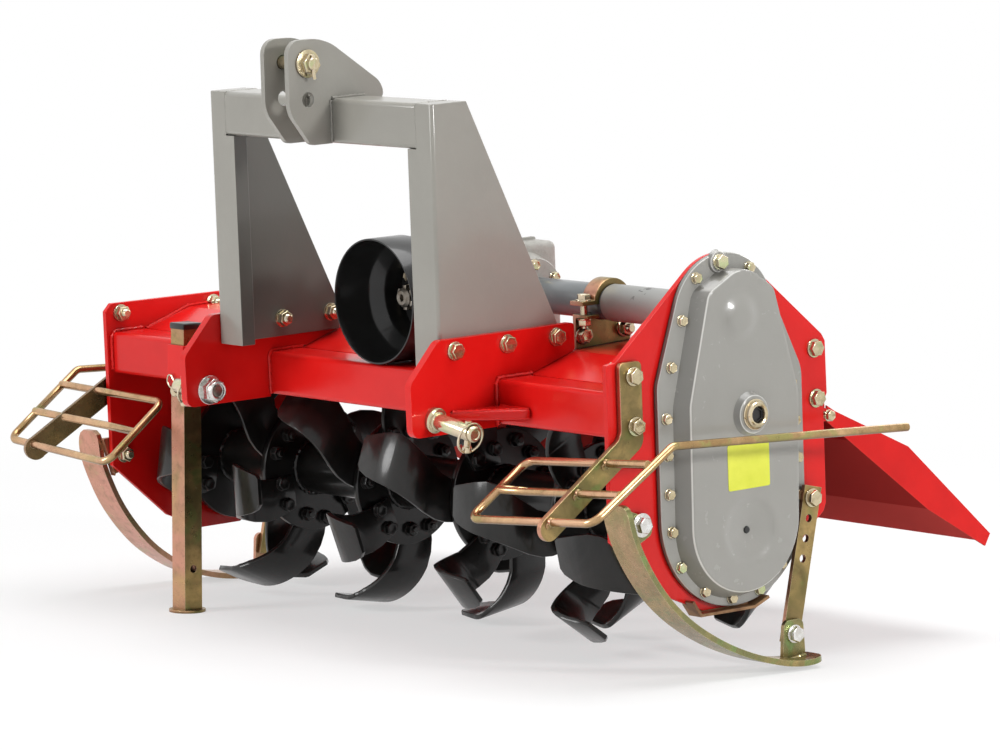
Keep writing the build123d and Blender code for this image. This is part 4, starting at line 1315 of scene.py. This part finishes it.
def top_link_plates():
    """Pair of cheeks at the mast's top, each with the two holes that take the top link's pin."""
    outline = [
        (0, 351, 0), (-36, 351, 6), (-70, 397, 12), (-69, 492, 20), (-7, 492, 22), (90, 424, 16),
        (88, 403, 9), (58, 403, 0), (58, 411, 0), (0, 411, 0),
    ]
    holes = [(TOP_PIN_Y, 412, 10), (TOP_PIN_Y, TOP_PIN_Z, 10)]
    for side, name in ((-1, "left"), (1, "right")):
        bm = bmesh.new()
        plate(bm, outline, *sorted((side * CHEEK_IN, side * CHEEK_OUT)), holes)
        finish_piece(bm, f"top_link_cheek_{name}", grey, "frame", [f"top_link_plate_{name}"],
                     corner=0.001)


def stand_cap():
    """Black cap over the upper end of the stand's tube."""
    half = 16.6
    bm = bmesh.new()
    block(bm, STAND_X - half, STAND_X + half, STAND_Y - half, STAND_Y + half, 66, 75, 2.0, 3)
    finish_piece(bm, "stand_end_cap", plastic, "stand", ["stand_cap"], place=UPRIGHT)


def stand_pin():
    """Pin with a wire clip on the front of the stand's tube."""
    bm = bmesh.new()
    front = STAND_Y - 15
    peg = [(-2, 0), (-2, 5.0), (6, 5.0), (6, 7.5), (7, 8.5), (11, 8.5), (12.5, 7), (12.5, 0)]
    turned(bm, peg, at(STAND_X + 7, front, -20) @ Y_FRONT, 24)
    clip = [(4, -9, -18), (-6, -9, -15), (-13, -8, -8), (-11, -8, 0), (-4, -8, 1), (2, -8, -6), (13, -9, -9)]
    round_bar(bm, eased([(STAND_X + across, front + out, z) for across, out, z in clip], 6), 1.2)
    finish_piece(bm, "stand_pin", bolt_zinc, "stand", place=UPRIGHT)


def hitch_plates():
    """Cheeks of the lower hitch, each with a level gusset outside it on the beam's front."""
    outline = [
        (-60, -21, 12), (-61, 50, 6), (-11.5, 103, 6), (221, 103, 5), (221, 66, 3), (150, 44.2, 0),
        (84, 42.6, 0), (84, -21, 0),
    ]
    lying = Matrix(((0, 0, 1, 0), (0, 1, 0, 0), (1, 0, 0, 0), (0, 0, 0, 1)))
    near, far, beam_y = HITCH_OUT - 1, HITCH_OUT + 70, 83.8
    for side, name in ((-1, "left"), (1, "right")):
        bm = bmesh.new()
        plate(bm, outline, *sorted((side * HITCH_IN, side * HITCH_OUT)))
        wedge = [(2, side * near, 3), (beam_y, side * near, 0), (beam_y, side * far, 7), (76, side * far, 5)]
        gusset = bmesh.new()
        plate(gusset, wedge, -5, 8, place=lying)
        round_edges(gusset, edges_sharper_than(gusset, 40), 3.2, 3)
        add_part(bm, gusset)
        hidden = [f"hitch_plate_{name}"]
        finish_piece(bm, f"hitch_cheek_{name}", red, "frame", hidden, corner=0.0012)


for make in (
    hitch_fasteners, hitch_welds, mast_welds, top_link_pin, hitch_pins, end_plate_fasteners, skid_fasteners,
    end_plate_welds, drive_tube_flange, chain_case, level_plug, hub_mark, case_fasteners, blank_plate,
    gearbox, gearbox_fasteners, pto, guard_cone, guard_fasteners, clamp_fasteners, tines, rotor_tube,
    rotor_welds, guard_welds, guard_arm, skids, top_link_plates, stand_cap, stand_pin, hitch_plates,
):
    make()


# ================= camera, room and lamps =================
def set_down(name, data, spot, look):
    """Sets a camera or a lamp down at a spot, looking along a direction."""
    item = bpy.data.objects.new(name, data)
    scene.collection.objects.link(item)
    item.location = spot
    item.rotation_mode = "QUATERNION"
    item.rotation_quaternion = Vector(look).to_track_quat("-Z", "Y")
    return item


def camera():
    """Long lens from the front right, a little above the machine."""
    data = bpy.data.cameras.new("camera")
    data.lens = 193.475
    data.clip_end = 200
    spot = ROTOR_AT + Vector((5.6752, -4.7076, 0.9141))
    scene.camera = set_down("camera", data, spot, (-0.76565, 0.63524, -0.10121))


def lamp(name, spot, size, watts):
    """Round soft box turned to the machine."""
    data = bpy.data.lights.new(name, "AREA")
    data.shape = "DISK"
    data.size = size
    data.energy = watts
    set_down(name, data, spot, Vector((0, 0.05, 0.35)) - Vector(spot))


def seen_directly(tree):
    """1 for what the camera, a mirror or glass sees, 0 for what lights the machine."""
    path = tree.nodes.new("ShaderNodeLightPath")
    total = path.outputs["Is Camera Ray"]
    for ray in ("Is Glossy Ray", "Is Transmission Ray"):
        both = tree.nodes.new("ShaderNodeMath")
        both.operation = "ADD"
        both.use_clamp = True
        tree.links.new(total, both.inputs[0])
        tree.links.new(path.outputs[ray], both.inputs[1])
        total = both.outputs[0]
    return total


def show(tree, amount, plain, white, output):
    """Sends two shaders, mixed by an amount, to a tree's output."""
    mix = tree.nodes.new("ShaderNodeMixShader")
    for index, value in enumerate((amount, plain.outputs[0], white.outputs[0])):
        tree.links.new(value, mix.inputs[index])
    tree.links.new(mix.outputs[0], tree.nodes[output].inputs["Surface"])


def room():
    """White to look at, but only a weak light on the machine."""
    world = bpy.data.worlds.new("white_room")
    scene.world = world
    world.use_nodes = True
    tree = world.node_tree
    light = tree.nodes["Background"]
    light.inputs["Color"].default_value = (0.97, 0.985, 1.0, 1)
    light.inputs["Strength"].default_value = 0.22
    white = tree.nodes.new("ShaderNodeBackground")
    white.inputs["Color"].default_value = (1, 1, 1, 1)
    show(tree, seen_directly(tree), light, white, "World Output")


def floor():
    """Round floor that shows the machine's shadow and fades to plain white further out."""
    f = Finish("pale_floor", (0.94, 0.94, 0.94), 0.9)
    f.set("Base Color", f.blend(f.noise(3.0), 0.3, 0.7, (0.93, 0.93, 0.93), (0.95, 0.95, 0.95)))
    far = f.ramp(f.math("DIVIDE", f.length(f.place.outputs["Object"]), 4.0), (0.15, 0.55), (0.6, 1.0))
    glow = f.tree.nodes.new("ShaderNodeEmission")
    glow.inputs["Color"].default_value = (1, 1, 1, 1)
    show(f.tree, f.times(far, seen_directly(f.tree)), f.shader, glow, "Material Output")
    bm = bmesh.new()
    bmesh.ops.create_circle(bm, cap_ends=True, segments=96, radius=40.0)
    item = as_object(bm, "floor", f)


camera()
room()
floor()
lamp("front_softbox", (-1.4, -4.4, 2.2), 1.9, 102)
lamp("side_softbox", (4.5, 0.7, 1.9), 0.7, 80)
lamp("top_softbox", (0.4, 0.3, 4.0), 3.4, 125)
lamp("rear_softbox", (-1.5, 4.4, 2.6), 2.4, 45)
scene.view_settings.view_transform = "Standard"
